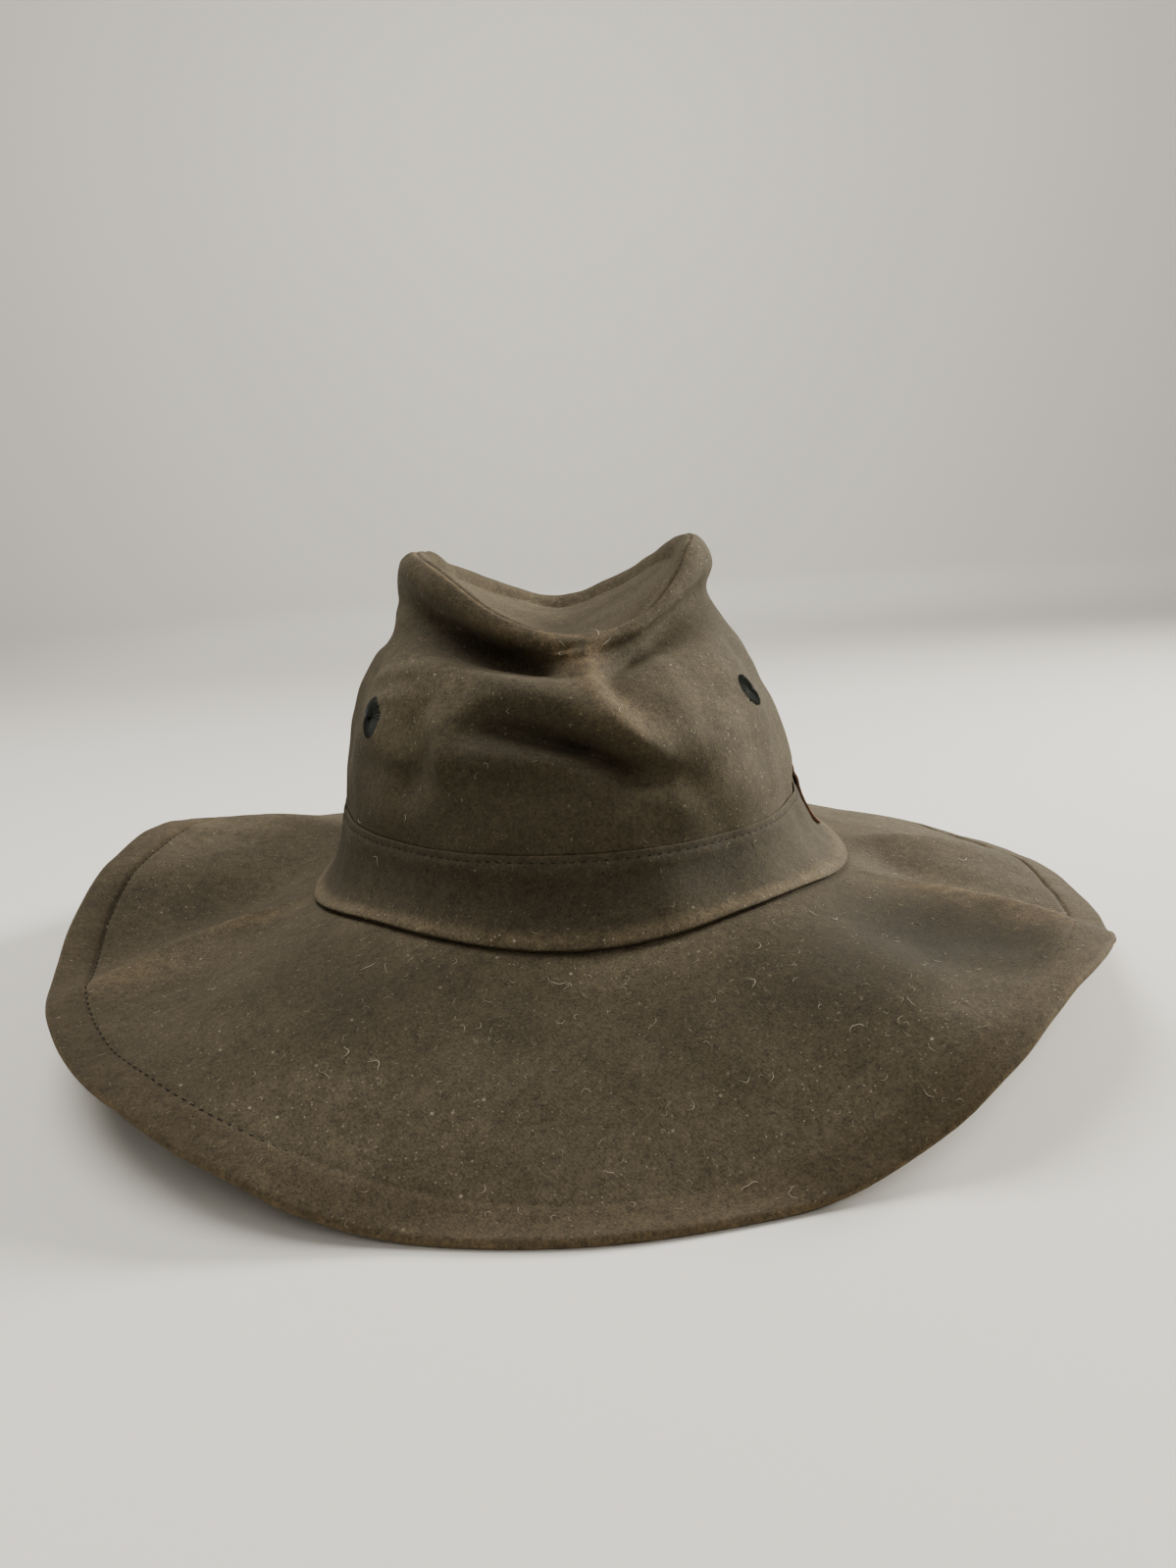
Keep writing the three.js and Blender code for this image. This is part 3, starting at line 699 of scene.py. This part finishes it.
clothValues = {
    "mapped": True, "threads": 1900.0, "patchScale": 52.0,
    # noise scale, detail and roughness, then the range that it is drawn out from and to
    "stains": ((26.0, 4, 0.6), (0.3, 0.72)),
    "wearBreaks": ((240, 4, 0.7), (0.3, 0.62)),
    "paintedShadeBreaks": ((90, 4, 0.65), (0.2, 0.7, 0.55, 1.0)),
    "dark": (0.036, 0.0282, 0.0148, 1), "light": (0.05, 0.04, 0.021, 1),
    # waxed is the colour of the painted shade, a darker cloth colour
    "worn": (0.125, 0.087, 0.043, 1), "waxed": (0.02, 0.016, 0.0088, 1),
    "dustColour": (0.165, 0.136, 0.088, 1), "speckColour": (0.34, 0.3, 0.22, 1),
    "dust": 0.55, "contrast": 0.6, "toneRange": (0.36, 0.64), "roughness": 0.84, "dustRoughness": 0.98,
    "bump": 0.5, "bumpDepth": 0.3, "specular": 0.25, "sheen": 0.08, "sheenRoughness": 0.55,
}
crownCloth = makeCloth("crown waxed cotton", clothValues)
bandCloth = makeCloth("hatband waxed cotton", {
    **clothValues, "dark": (0.029, 0.023, 0.0125, 1), "light": (0.041, 0.033, 0.018, 1)})
brimCloth = makeCloth("brim waxed cotton", {
    **clothValues, "mapped": False, "dark": (0.034, 0.0262, 0.014, 1), "light": (0.047, 0.0365, 0.0195, 1)})
hemCloth = makeCloth("hem waxed cotton", {
    **clothValues, "dark": (0.037, 0.027, 0.014, 1), "light": (0.05, 0.037, 0.0193, 1), "dust": 0.4})


def makePlain(name, dark, light, roughness, scale, bumpDepth):
    # a small piece's material: two tones, and a bump from the same noise
    material, tree, shader, surface = newMaterial(name)
    tone = rangeNode(tree, noiseNode(tree, surface, scale, 4, 0.6), 0.35, 0.65)
    bump = addNode(tree, "Bump", {"Height": tone, "Strength": 0.5, "Distance": bumpDepth * mm})
    setInputs(tree, shader, {
        "Base Color": mixColour(tree, tone, dark, light), "Normal": bump.outputs["Normal"],
        "Roughness": rangeNode(tree, tone, 0, 1, roughness, roughness + 0.15), "Specular IOR Level": 0.2,
    })
    return material


plainLooks = {
    # dark, light, roughness, scale of the noise, depth of the bump in millimetres
    "eyelet thread": ((0.009, 0.0106, 0.0092, 1), (0.032, 0.036, 0.031, 1), 0.6, 900, 0.1),
    "seam thread": ((0.009, 0.007, 0.0045, 1), (0.02, 0.016, 0.01, 1), 0.7, 900, 0.1),
    "patch leather": ((0.12, 0.062, 0.04, 1), (0.22, 0.118, 0.078, 1), 0.75, 420, 0.2),
    "lint fibre": ((0.26, 0.235, 0.175, 1), (0.56, 0.51, 0.4, 1), 0.8, 60, 0.02),
}
eyeletThread, seamThread, patchLeather, lintFibre = (
    makePlain(name, *look) for name, look in plainLooks.items())
print("materials made")


# The pieces of the hat

eyelets = {
    "outerRadius": 6.9, "holeRadius": 0.7, "halfHeight": 0.9, "sunk": 0.45, "ribs": 40, "ribDepth": 0.2,
    "ribSteps": 4, "profile": 14, "level": 6.6, "cutRadius": 4.4,
    "places": {"front_right": -57, "front_left": 60, "rear_right": -123, "rear_left": 123},
    # how the cloth pulls each ring: direction, stretch along it, stretch across it
    "pulls": {
        "front_right": (107, 0.96, 0.8), "front_left": (149, 1.12, 0.68), "rear_right": (80, 1, 0.9),
        "rear_left": (95, 1, 0.85),
    },
}
crownLook = {
    "radius": 80,  # of the cloth map
    "edge": (0.9, 0.8, 0.8),  # wear near the crest's seam: distance, spread, strength
    "allOver": 0.25, "dustiest": 1.6,
    # azimuth, level, spread round, spread along, strength
    "dust": [
        (-50, 7.5, 22, 1.4, 1.5), (-28, 8.1, 20, 0.7, 0.8), (42, 6.6, 24, 2.2, 1.0),
        (66, 3.6, 22, 2.5, 0.9), (40, 3.4, 14, 1.6, 0.5), (8, 6.8, 12, 0.8, 0.4), (-8, 4.0, 26, 1.2, 0.2),
        (0, 12.6, 30, 1.0, 0.4), (70, 11.5, 34, 1.6, 0.7), (36, 10.6, 20, 1.2, 0.5),
        (150, 7, 50, 2.5, 0.5), (-130, 5.5, 40, 2.5, 0.4),
    ],
    # painted shade: the cloth is darkened in the front tuck and in the hollow under the left lip, where
    # shade falls
    "paintedShade": [(6, 6.35, 9, 0.4, 0.75), (-11, 7.0, 9, 0.35, 0.75), (-30, 9.2, 22, 0.5, 0.4)],
    "wear": [(8, 9.6, 9, 1.2, 0.8), (11, 8.2, 5, 1.2, 0.6), (17, 6.9, 6, 0.7, 0.6),
             (-2, 11.2, 24, 1.4, 0.55), (-60, 12, 30, 1.2, 0.3)],
}


def seamDip(distance):
    # the cloth turns down into a seam
    return crown["seamDepth"] * peak(distance, crown["seamWidth"])


def cutEyeletHoles(obj, points):
    near = np.zeros(len(points), bool)
    for at in eyelets["places"].values():
        middle = crownSurface(at, eyelets["level"])
        near |= np.linalg.norm(points - middle, axis=1) < eyelets["cutRadius"]
    bpy.ops.object.mode_set(mode="EDIT")
    bpy.ops.mesh.select_all(action="DESELECT")
    bpy.ops.mesh.select_mode(type="VERT")
    bpy.ops.object.mode_set(mode="OBJECT")
    obj.data.vertices.foreach_set("select", near)
    bpy.ops.object.mode_set(mode="EDIT")
    bpy.ops.mesh.delete(type="VERT")
    bpy.ops.object.mode_set(mode="OBJECT")


def makeCrownWall():
    obj = ringTube(crown["around"], crown["rows"])
    at, row = tubePlaces(obj)
    at = crowded(at)
    hidden, visible = crown["hiddenRows"], crown["rows"] - 1 - crown["hiddenRows"]
    bandTop = levelOf["bandTop"] - crown["underBand"]
    level = np.where(row < hidden, row / hidden * bandTop,
                     blendTo(bandTop, crown["rimSeam"], (row - hidden) / visible))
    toSeam = (crown["rimSeam"] - level) * crown["rimSpan"]
    points = overCrown(at, level, -seamDip(toSeam))
    writePoints(obj, points)
    wornAt, spread, strength = crownLook["edge"]
    edgeWear = strength * peak(toSeam - wornAt, spread)
    dressCloth(obj, at, level, level * crown["levelHeight"], crownLook, edgeWear)
    cutEyeletHoles(obj, points)
    pointFaces(obj)
    giveThickness(obj, crown["cloth"])
    finishedPiece(obj, "crownWall", "waxed_cotton", crownCloth,
                  "crown_wall_left", "crown_wall_right", "crown_lip_left", "crown_lip_right")


makeCrownWall()
print("crown wall shaped")


tip = {
    "around": 240, "rows": 54, "rimRows": 26, "dip": 1.5, "crumple": 0.5, "crumpleSize": 26, "seed": 21,
}
tipLook = {
    "radius": 45, "edge": 0.2, "allOver": 0.8, "dustiest": 2,
    "dust": [(178, 13.6, 30, 0.8, 0.6), (150, 13.2, 30, 1, 0.3)],
}


def tipSurface(at, ring):
    # ring is 1 at the seam and 0 in the middle
    side, front, _, zSide, zFront, zBack, rise, _, shift, _ = crown["sections"]["tipSeam"]

    def saddle(plan):
        valley = blendTo(zBack, zFront, 0.5 - 0.5 * plan[..., 1] / front)
        return blendTo(valley, zSide, (np.abs(plan[..., 0]) / side) ** rise)

    seam = crownSurface(at, levelOf["tipSeam"])
    edge = seam[..., :2] - (shift, 0)
    plan = edge * ring[..., None]
    height = saddle(plan) - tip["dip"] * (1 - ring ** 3)
    points = np.stack([plan[..., 0] + shift, plan[..., 1], height], -1)
    points[..., 2] += (1 - ring ** 4) * tip["crumple"] * softNoise(points, tip["crumpleSize"], tip["seed"])
    points[..., 2] += ring ** 6 * (seam[..., 2] - saddle(edge))
    return points


def makeCrownTip():
    obj = ringTube(tip["around"], tip["rows"])
    at, row = tubePlaces(obj)
    at = crowded(at)
    level = blendTo(crown["rimSeam"], float(levelOf["tipSeam"]), unit(row / tip["rimRows"]))
    rim = overCrown(at, level, -seamDip((level - crown["rimSeam"]) * crown["rimSpan"]))
    ring = 1 - unit((row - tip["rimRows"]) / (tip["rows"] - 1 - tip["rimRows"]))
    writePoints(obj, np.where((row <= tip["rimRows"])[:, None], rim, tipSurface(at, ring)))
    dressCloth(obj, at, level, ring * tipLook["radius"], tipLook, tipLook["edge"])
    pointFaces(obj, closeBy)
    giveThickness(obj, crown["cloth"])
    finishedPiece(obj, "crownTip", "waxed_cotton", crownCloth, "crown_tip")


makeCrownTip()
print("crown tip shaped")


band = {
    "cloth": 1.5, "fit": 0.3, "bottom": 0.03, "top": 3.04, "around": 400, "profile": 84, "square": 8.0,
    "edgeSquare": 0.35, "evenness": 0.3,  # how the profile's rows are spaced
    "taper": (0.45, 0.3), "stitchDrop": 0.2, "stitchGroove": (0.2, 0.07),  # amount, spread in levels
}
bandLook = {
    "radius": 90, "allOver": 0.2, "dustiest": 1.8,
    "edges": ((3.04, 0.05, 0.3), (0.35, 0.3, 0.6)),  # worn lines: level, spread, strength
    "dust": [(0, 0.3, 90, 0.4, 1.9), (65, 1.3, 26, 1.4, 0.3), (-75, 0.4, 20, 0.3, 0.5),
             (150, 1.5, 60, 1.5, 0.5), (-4, 2.75, 30, 0.25, 0.4)],
}


def squared(wave, power):
    # a round strip's sine or cosine with its middle flattened
    return np.sign(wave) * np.abs(wave) ** power


def makeHatband():
    obj = ringStrip(band["around"], band["profile"])
    at, angle = stripPlaces(obj)
    at = crowded(at)
    along = 0.5 + 0.5 * squared(np.cos(angle), 2 / band["square"])
    spread = np.arcsin(np.clip(2 * along - 1, -1, 1)) / math.pi + 0.5
    level = blendTo(band["bottom"], band["top"], blendTo(along, spread, band["evenness"]))
    out = 0.5 + 0.5 * squared(np.sin(angle), band["edgeSquare"])
    less, over = band["taper"]
    deep, wide = band["stitchGroove"]
    fromTop = level - band["top"]
    tapered = (band["fit"] + band["cloth"] * out) * (1 - less * peak(fromTop, over))
    out = tapered - deep * peak(fromTop + band["stitchDrop"], wide) * out
    writePoints(obj, overCrown(at, level, out))
    worn = sum(strength * peak(level - middle, wide) for middle, wide, strength in bandLook["edges"])
    dressCloth(obj, at, level, level * crown["levelHeight"], bandLook, worn)
    pointFaces(obj)
    finishedPiece(obj, "hatbandCloth", "band_cotton", bandCloth, "hatband")


makeHatband()
print("hatband shaped")


hem = {
    "around": 400, "profile": 40, "square": 3.4, "puff": 0.4, "puffOver": 2.2, "leastPuff": 0.4, "roll": 1.5,
    "groove": (0.05, 1.05, 0.8),  # depth where it is shut, more where it is open, and width
    "open": 0.12,  # everywhere, and more at these azimuths
    "openings": [(-92, 0, 32, 1, 1.0), (-150, 0, 40, 1, 0.7), (105, 0, 30, 1, 1.0), (160, 0, 30, 1, 0.6)],
}


def grooveOpen(at):
    # how open the stitched groove inside the hem is, going round
    return unit(hem["open"] + spots(at, 0, hem["openings"]))


def grooveDip(at, toGroove):
    shut, more, wide = hem["groove"]
    return (shut + more * grooveOpen(at)) * peak(toGroove, wide)


brimLook = {
    "radius": 120, "allOver": 0.4, "dustiest": 1.6,
    "dust": [
        (-30, 0.75, 34, 0.3, 0.5), (-62, 0.5, 14, 0.4, 0.6), (26, 0.8, 20, 0.25, 0.6),
        (118, 0.5, 26, 0.5, 0.8), (0, 0.04, 60, 0.12, 0.8), (-100, 0.6, 26, 0.5, 0.8),
        # the two spots of negative strength on the next line take the dust away under the right corner's
        # ridge, to paint shade there
        (46, 0.35, 14, 0.4, -0.35), (56, 0.65, 12, 0.3, -0.4), (75, 0.4, 8, 0.4, 0.5),
        (10, 0.9, 24, 0.1, 0.15),
    ],
    # painted shade: the cloth is darkened under the right corner's ridge, in the left valley and over the
    # front, parts turned away from the light
    "paintedShade": [(47, 0.5, 11, 0.4, 0.9), (34, 0.45, 12, 0.3, 0.25), (-84, 0.5, 8, 0.3, 0.45),
            (0, 0.4, 30, 0.3, 0.2)],
    "wear": [(58, 0.85, 4, 0.3, 0.9), (62, 0.45, 3, 0.3, 0.8), (-64, 0.75, 3.5, 0.3, 0.8),
             (-74, 0.35, 3, 0.35, 0.9)],
}
hemSeam = 1 - brim["hemWidth"] / brim["width"]


def restOnFloor(obj):
    points = readPoints(obj)
    points[:, 2] = np.maximum(points[:, 2], 0)
    movePoints(obj, points)


def makeBrim():
    obj = ringTube(brim["around"], brim["rows"])
    at, row = tubePlaces(obj)
    share = np.sin(row / (brim["rows"] - 1) * math.pi / 2) ** brim["rowCrowding"]
    place = blendTo(-brim["tuck"] / brim["width"], hemSeam + brim["underHem"] / brim["width"], share)
    points = brimSurface(at, place)
    points[:, 2] -= grooveDip(at, (hemSeam - place) * brim["width"])
    writePoints(obj, points)
    dressCloth(obj, at, place, place * brim["width"], brimLook)
    pointFaces(obj)
    giveThickness(obj, brim["cloth"])
    restOnFloor(obj)
    finishedPiece(obj, "brimCloth", "waxed_cotton", brimCloth, "brim_left", "brim_right")


makeBrim()
print("brim shaped")

hemLook = {
    "radius": 160, "allOver": 0.5, "dustiest": 1.4, "edge": (0.8, 0.6), "wearAllOver": 0.03,
    "dust": [(30, 0.95, 25, 1, 0.2), (100, 0.95, 40, 1, 0.5), (-80, 0.95, 40, 1, 0.5)],
}


def makeHem():
    obj = ringStrip(hem["around"], hem["profile"])
    at, angle = stripPlaces(obj)
    inward = brim["hemWidth"] * (0.5 - 0.5 * squared(np.cos(angle), 2 / hem["square"]))
    place = 1 - inward / brim["width"]
    fromGroove = brim["hemWidth"] - inward
    rolled = np.sqrt(1 - (1 - unit(inward / hem["roll"])) ** 2)
    puff = hem["puff"] * blendTo(hem["leastPuff"], 1, grooveOpen(at))
    puff = puff * (1 - peak(fromGroove, hem["puffOver"]))
    side = np.sign(np.rint(np.sin(angle) * 1000))
    up = side * rolled * (brim["cloth"] / 2 + puff) - brim["cloth"] / 2
    points = brimSurface(at, place) + brimUp(at, place) * up[:, None]
    points[:, 2] -= grooveDip(at, fromGroove) * (side > 0)
    writePoints(obj, points)
    restOnFloor(obj)
    spread, strength = hemLook["edge"]
    dressCloth(obj, at, place, inward, hemLook, strength * peak(inward, spread) + hemLook["wearAllOver"])
    pointFaces(obj)
    finishedPiece(obj, "brimHemCloth", "hem_cotton", hemCloth, "brim_hem_left", "brim_hem_right")


makeHem()
print("hem shaped")


def makeEyelet(place, at0):
    level0, ribCount = eyelets["level"], eyelets["ribs"]
    width = (eyelets["outerRadius"] - eyelets["holeRadius"]) / 2
    obj = ringStrip(ribCount * eyelets["ribSteps"], eyelets["profile"])
    turn, angle = stripPlaces(obj)
    turn = np.radians(turn)
    ribs = 1 + eyelets["ribDepth"] * np.cos(turn * ribCount)
    radius = eyelets["holeRadius"] + width + width * np.cos(angle) * (0.5 + 0.5 * ribs)
    up = eyelets["halfHeight"] * np.sin(angle) * ribs - eyelets["sunk"]
    stepAt = np.linalg.norm(crownSurface(at0 + 1, level0) - crownSurface(at0 - 1, level0)) / 2
    stepLevel = np.linalg.norm(crownSurface(at0, level0 + 0.2) - crownSurface(at0, level0 - 0.2)) / 0.4
    direction, lengthened, narrowed = eyelets["pulls"][place]
    direction = math.radians(direction)
    long = radius * lengthened * np.cos(turn - direction)
    wide = radius * narrowed * np.sin(turn - direction)
    at = at0 + (long * math.cos(direction) - wide * math.sin(direction)) / stepAt
    level = level0 + (long * math.sin(direction) + wide * math.cos(direction)) / stepLevel
    writePoints(obj, overCrown(at, level, up))
    pointFaces(obj)
    finishedPiece(obj, "eyeletRing_" + place, "eyelet_thread", eyeletThread, "eyelet_" + place)


for place, at0 in eyelets["places"].items():
    makeEyelet(place, at0)
print("eyelets sewn")


patch = {
    "at": 94, "turn": 17, "bottom": 1.15, "top": 3.3, "thickness": 0.8, "clear": 1.9, "clearAbove": 0.9,
    "stepOver": 0.04, "around": 120, "rows": 14, "square": 9.0, "halfWidth": 10,
    "groove": (1.6, 0.7, 0.25),  # inset, width, depth
    "curl": 0.35, "curlOver": (0.25, 0.3),
}


def patchPoint(across, up, out):
    at = patch["at"] + across * patch["turn"]
    level = blendTo(patch["bottom"], patch["top"], up + 0.5)
    curlAcross, curlUp = patch["curlOver"]
    curl = patch["curl"] * peak(across + 0.5, curlAcross) * peak(up + 0.5, curlUp)
    overBand = 1 / (1 + np.exp((level - band["top"]) / patch["stepOver"]))
    clear = blendTo(patch["clearAbove"], patch["clear"], overBand)
    return overCrown(at, level, clear + out + curl)


def makePatch():
    obj = ringTube(patch["around"], patch["rows"])
    turn, row = tubePlaces(obj)
    ring = 1 - row / (patch["rows"] - 1)
    cosine, sine, square = np.cos(np.radians(turn)), np.sin(np.radians(turn)), patch["square"]
    reach = 0.5 * (np.abs(cosine) ** square + np.abs(sine) ** square) ** (-1 / square)
    inset, wide, deep = patch["groove"]
    out = patch["thickness"] - deep * peak((1 - ring) * patch["halfWidth"] - inset, wide)
    writePoints(obj, patchPoint(reach * ring * sine, -reach * ring * cosine, out))
    pointFaces(obj, closeBy)
    giveThickness(obj, patch["thickness"])
    finishedPiece(obj, "sidePatchLeather", "patch_leather", patchLeather, "side_patch", smoothUpTo=50)


makePatch()
print("patch shaped")


# Stitches and lint: one small model of each, copied to many places

def takeModel(obj):
    points = readPoints(obj)
    faces = [tuple(face.vertices) for face in obj.data.polygons]
    bpy.data.objects.remove(obj)
    return points, faces


def copyTo(name, model, places, material, slot):
    # places are an origin over the seam and three axes as columns, in millimetres
    points, faces = model
    allPoints, allFaces = [], []
    for origin, axes in places:
        start = len(allPoints) * len(points)
        allPoints.append(points @ axes.T + origin)
        allFaces += [tuple(start + i for i in face) for face in faces]
    mesh = bpy.data.meshes.new(name)
    mesh.from_pydata((np.concatenate(allPoints) * mm + seamMiddle).tolist(), [], allFaces)
    obj = bpy.data.objects.new(name, mesh)
    bpy.context.scene.collection.objects.link(obj)
    finishedPiece(obj, name, slot, material)


def axesFrom(forward, normal):
    forward = forward / np.linalg.norm(forward)
    side = np.cross(normal, forward)
    side /= np.linalg.norm(side)
    return np.stack([forward, side, np.cross(forward, side)], 1)


stitch = {
    "hemPitch": 3.2, "hemSize": (1.9, 0.55, 0.385),
    "bandPitch": 2.9, "bandSize": (1.6, 0.4, 0.28), "bandHeight": 1.05,
    # where the hem's stitches are drawn in out of sight
    "hemHeight": 0.08, "sunk": 0.75, "sunkAt": 28, "sunkSpread": 50,
}
bpy.ops.mesh.primitive_uv_sphere_add(segments=8, ring_count=6, radius=0.5)
stitchBall = takeModel(bpy.context.active_object)


def spacedRound(surface, place, pitch):
    # azimuths an equal distance apart round the hat
    fine = np.linspace(0, 360, 1441)
    steps = np.linalg.norm(np.diff(surface(fine, place), axis=0), axis=1)
    length = np.append(0, np.cumsum(steps))
    return np.interp(np.arange(0, length[-1] - pitch / 2, pitch), length, fine)


def makeStitches(name, surface, up, place, pitch, size, heightAt):
    places = []
    for at in spacedRound(surface, place, pitch):
        normal = up(at, place)
        forward = surface(at + 0.3, place) - surface(at - 0.3, place)
        places.append((surface(at, place) + normal * heightAt(at), axesFrom(forward, normal) * size))
    copyTo(name, stitchBall, places, seamThread, "eyelet_thread")


def hemStitchHeight(at):
    sunk = stitch["sunk"] * peak(turnBetween(at, stitch["sunkAt"]), stitch["sunkSpread"], 4)
    return stitch["hemHeight"] - sunk - grooveDip(at, 0)


makeStitches("hemStitches", brimSurface, brimUp, hemSeam, stitch["hemPitch"], stitch["hemSize"],
             hemStitchHeight)
makeStitches("bandStitches", crownSurface, crownOut, band["top"] - band["stitchDrop"], stitch["bandPitch"],
             stitch["bandSize"], lambda at: stitch["bandHeight"])
print("seams stitched")


lint = {
    "seed": 5, "brimCount": 900, "crownCount": 220, "sides": 3, "steps": 8, "thin": 0.019, "kinds": 6,
    "clear": 0.12, "overHem": 0.3, "shortest": 0.6, "longer": 2.1, "longOnes": 0.05, "muchLonger": 2.5,
    # azimuth's middle and spread, then the places from and to
    "brim": (18, 50, 0.06, 0.98), "crown": (10, 60, 0.6, 12),
}


def lintModel(source):
    # a curled fibre about 1 long, lying along +X
    obj = ringTube(lint["sides"], lint["steps"])
    turn, row = tubePlaces(obj)
    along = row / (lint["steps"] - 1)
    bend, twist = source.uniform(0.4, 2.6), source.uniform(-1.5, 1.5)

    def heading(share):
        return bend * (share - 0.5) + twist * np.sin(share * math.pi * 2) * 0.6

    order = np.linspace(0, 1, 40)
    lineX = np.append(0, np.cumsum(np.cos(heading(order)[:-1]))) / 39
    lineY = np.append(0, np.cumsum(np.sin(heading(order)[:-1]))) / 39
    x, y = np.interp(along, order, lineX), np.interp(along, order, lineY)
    lift = 0.05 * np.abs(np.sin(along * math.pi * source.uniform(0.8, 2.4)))
    thin = lint["thin"] * (1 - 0.5 * np.abs(2 * along - 1))
    across, over = thin * np.cos(np.radians(turn)), thin * np.sin(np.radians(turn))
    stepX, stepY = np.cos(heading(along)), np.sin(heading(along))
    movePoints(obj, np.stack([x - stepY * across, y + stepX * across, lift + over], -1))
    pointFaces(obj)
    return takeModel(obj)


def makeLint():
    source = np.random.default_rng(lint["seed"])
    onBrims = [True] * (lint["brimCount"] // lint["kinds"]) + [False] * (lint["crownCount"] // lint["kinds"])
    for kind in range(lint["kinds"]):
        model = lintModel(source)
        places = []
        for onBrim in onBrims:
            middleAt, spreadAt, lowest, highest = lint["brim" if onBrim else "crown"]
            surface, up = (brimSurface, brimUp) if onBrim else (crownSurface, crownOut)
            at, place = source.normal(middleAt, spreadAt), source.uniform(lowest, highest)
            middle, normal = surface(at, place), up(at, place)
            if not onBrim and place < band["top"]:
                middle = middle + normal * (band["fit"] + band["cloth"])
            if onBrim and place > hemSeam:
                middle = middle + normal * lint["overHem"]
            heading = source.uniform(0, 2 * math.pi)
            aside = np.cross(normal, (0.3, 0.2, 1))
            forward = math.cos(heading) * aside + math.sin(heading) * np.cross(normal, aside)
            length = lint["shortest"] + lint["longer"] * source.random() ** 2
            length += lint["muchLonger"] if source.random() < lint["longOnes"] else 0
            places.append((middle + normal * lint["clear"], axesFrom(forward, normal) * length))
        copyTo(f"lint_{kind}", model, places, lintFibre, "hem_cotton")


makeLint()
print("lint scattered")


# The stage, the light and the camera

stage = {
    "around": 96, "flatRows": 8, "bendRows": 12, "wallRows": 5,
    "flat": 2.1, "rimRadius": 0.9, "rimHeight": 1.6, "colour": (0.84, 0.82, 0.77, 1), "roughness": 0.9,
}


def makeStage():
    flatRows, bendRows, wallRows = stage["flatRows"], stage["bendRows"], stage["wallRows"]
    obj = ringTube(stage["around"], flatRows + bendRows + wallRows + 1)
    turn, row = tubePlaces(obj)
    arc = unit((row - flatRows) / bendRows) * math.pi / 2
    rise = np.clip(row - flatRows - bendRows, 0, None) / wallRows * stage["rimHeight"]
    radius = unit(row / flatRows) * stage["flat"] + np.sin(arc) * stage["rimRadius"]
    height = (1 - np.cos(arc)) * stage["rimRadius"] + rise
    angle = np.radians(turn)
    movePoints(obj, np.stack([radius * np.sin(angle), -radius * np.cos(angle), height], -1))
    pointFaces(obj, 0.0001, inward=True)
    material, tree, shader, _ = newMaterial("pale floor")
    setInputs(tree, shader, {"Base Color": stage["colour"], "Roughness": stage["roughness"]})
    obj.data.materials.clear()
    obj.data.materials.append(material)
    shadeSmooth(obj, 60)
    obj.name = "floor"
    obj.select_set(False)


makeStage()


def putUp(name, data, place, right, upward, back):
    obj = bpy.data.objects.new(name, data)
    bpy.context.scene.collection.objects.link(obj)
    axes = Matrix(np.stack([right, upward, back], 1).tolist()).to_4x4()
    obj.matrix_world = Matrix.Translation(place) @ axes
    return obj


lamps = {
    # place, aim, size, power, spread, colour
    "rearRight": ((1.25, 0.5, 0.65), (0, 0, 0.09), 0.5, 8.4, 80, (1, 0.955, 0.87)),
    "overhead": ((-0.5, 0.4, 1.5), (0, 0, 0.05), 1.3, 12, 120, (1, 0.965, 0.905)),
    "frontFill": ((0.2, -1.4, 1.45), (0, 0, 0.1), 1.2, 3.6, 120, (1, 0.965, 0.905)),
    "backdrop": ((0, 1.0, 1.5), (0, 3.2, 0.7), 1.2, 26, 150, (1, 0.975, 0.92)),
}
for name, (place, aim, size, power, spread, colour) in lamps.items():
    data = bpy.data.lights.new(name, "AREA")
    data.shape = "DISK"
    data.size = size
    data.energy = power
    data.spread = math.radians(spread)
    data.color = colour
    back = np.array(place) - aim
    back /= np.linalg.norm(back)
    right = np.cross((0, 0, 1), back)
    right /= np.linalg.norm(right)
    putUp(name, data, place, right, np.cross(back, right), back)

room = {"colour": (0.9, 0.92, 0.95, 1), "strength": 0.12}
world = bpy.data.worlds.new("studio")
world.use_nodes = True
setInputs(world.node_tree, world.node_tree.nodes["Background"], {
    "Color": room["colour"], "Strength": room["strength"]})
bpy.context.scene.world = world

camera = {"fromSeam": (4.2, -385.3, 113.6), "pitch": 13.0, "roll": 4.0, "focal": 27.02}
cameraData = bpy.data.cameras.new("camera")
cameraData.lens = camera["focal"]
cameraData.sensor_width = 36
cameraData.clip_start = 0.01
pitch, roll = math.radians(camera["pitch"]), math.radians(camera["roll"])
ahead = np.array([0, math.cos(pitch), -math.sin(pitch)])
upright = np.array([0, math.sin(pitch), math.cos(pitch)])
right = np.array([math.cos(roll), 0, 0]) - math.sin(roll) * upright
upward = np.array([math.sin(roll), 0, 0]) + math.cos(roll) * upright
cameraPlace = np.array(camera["fromSeam"]) * mm + seamMiddle
bpy.context.scene.camera = putUp("camera", cameraData, cameraPlace.tolist(), right, upward, -ahead)
print("stage set")
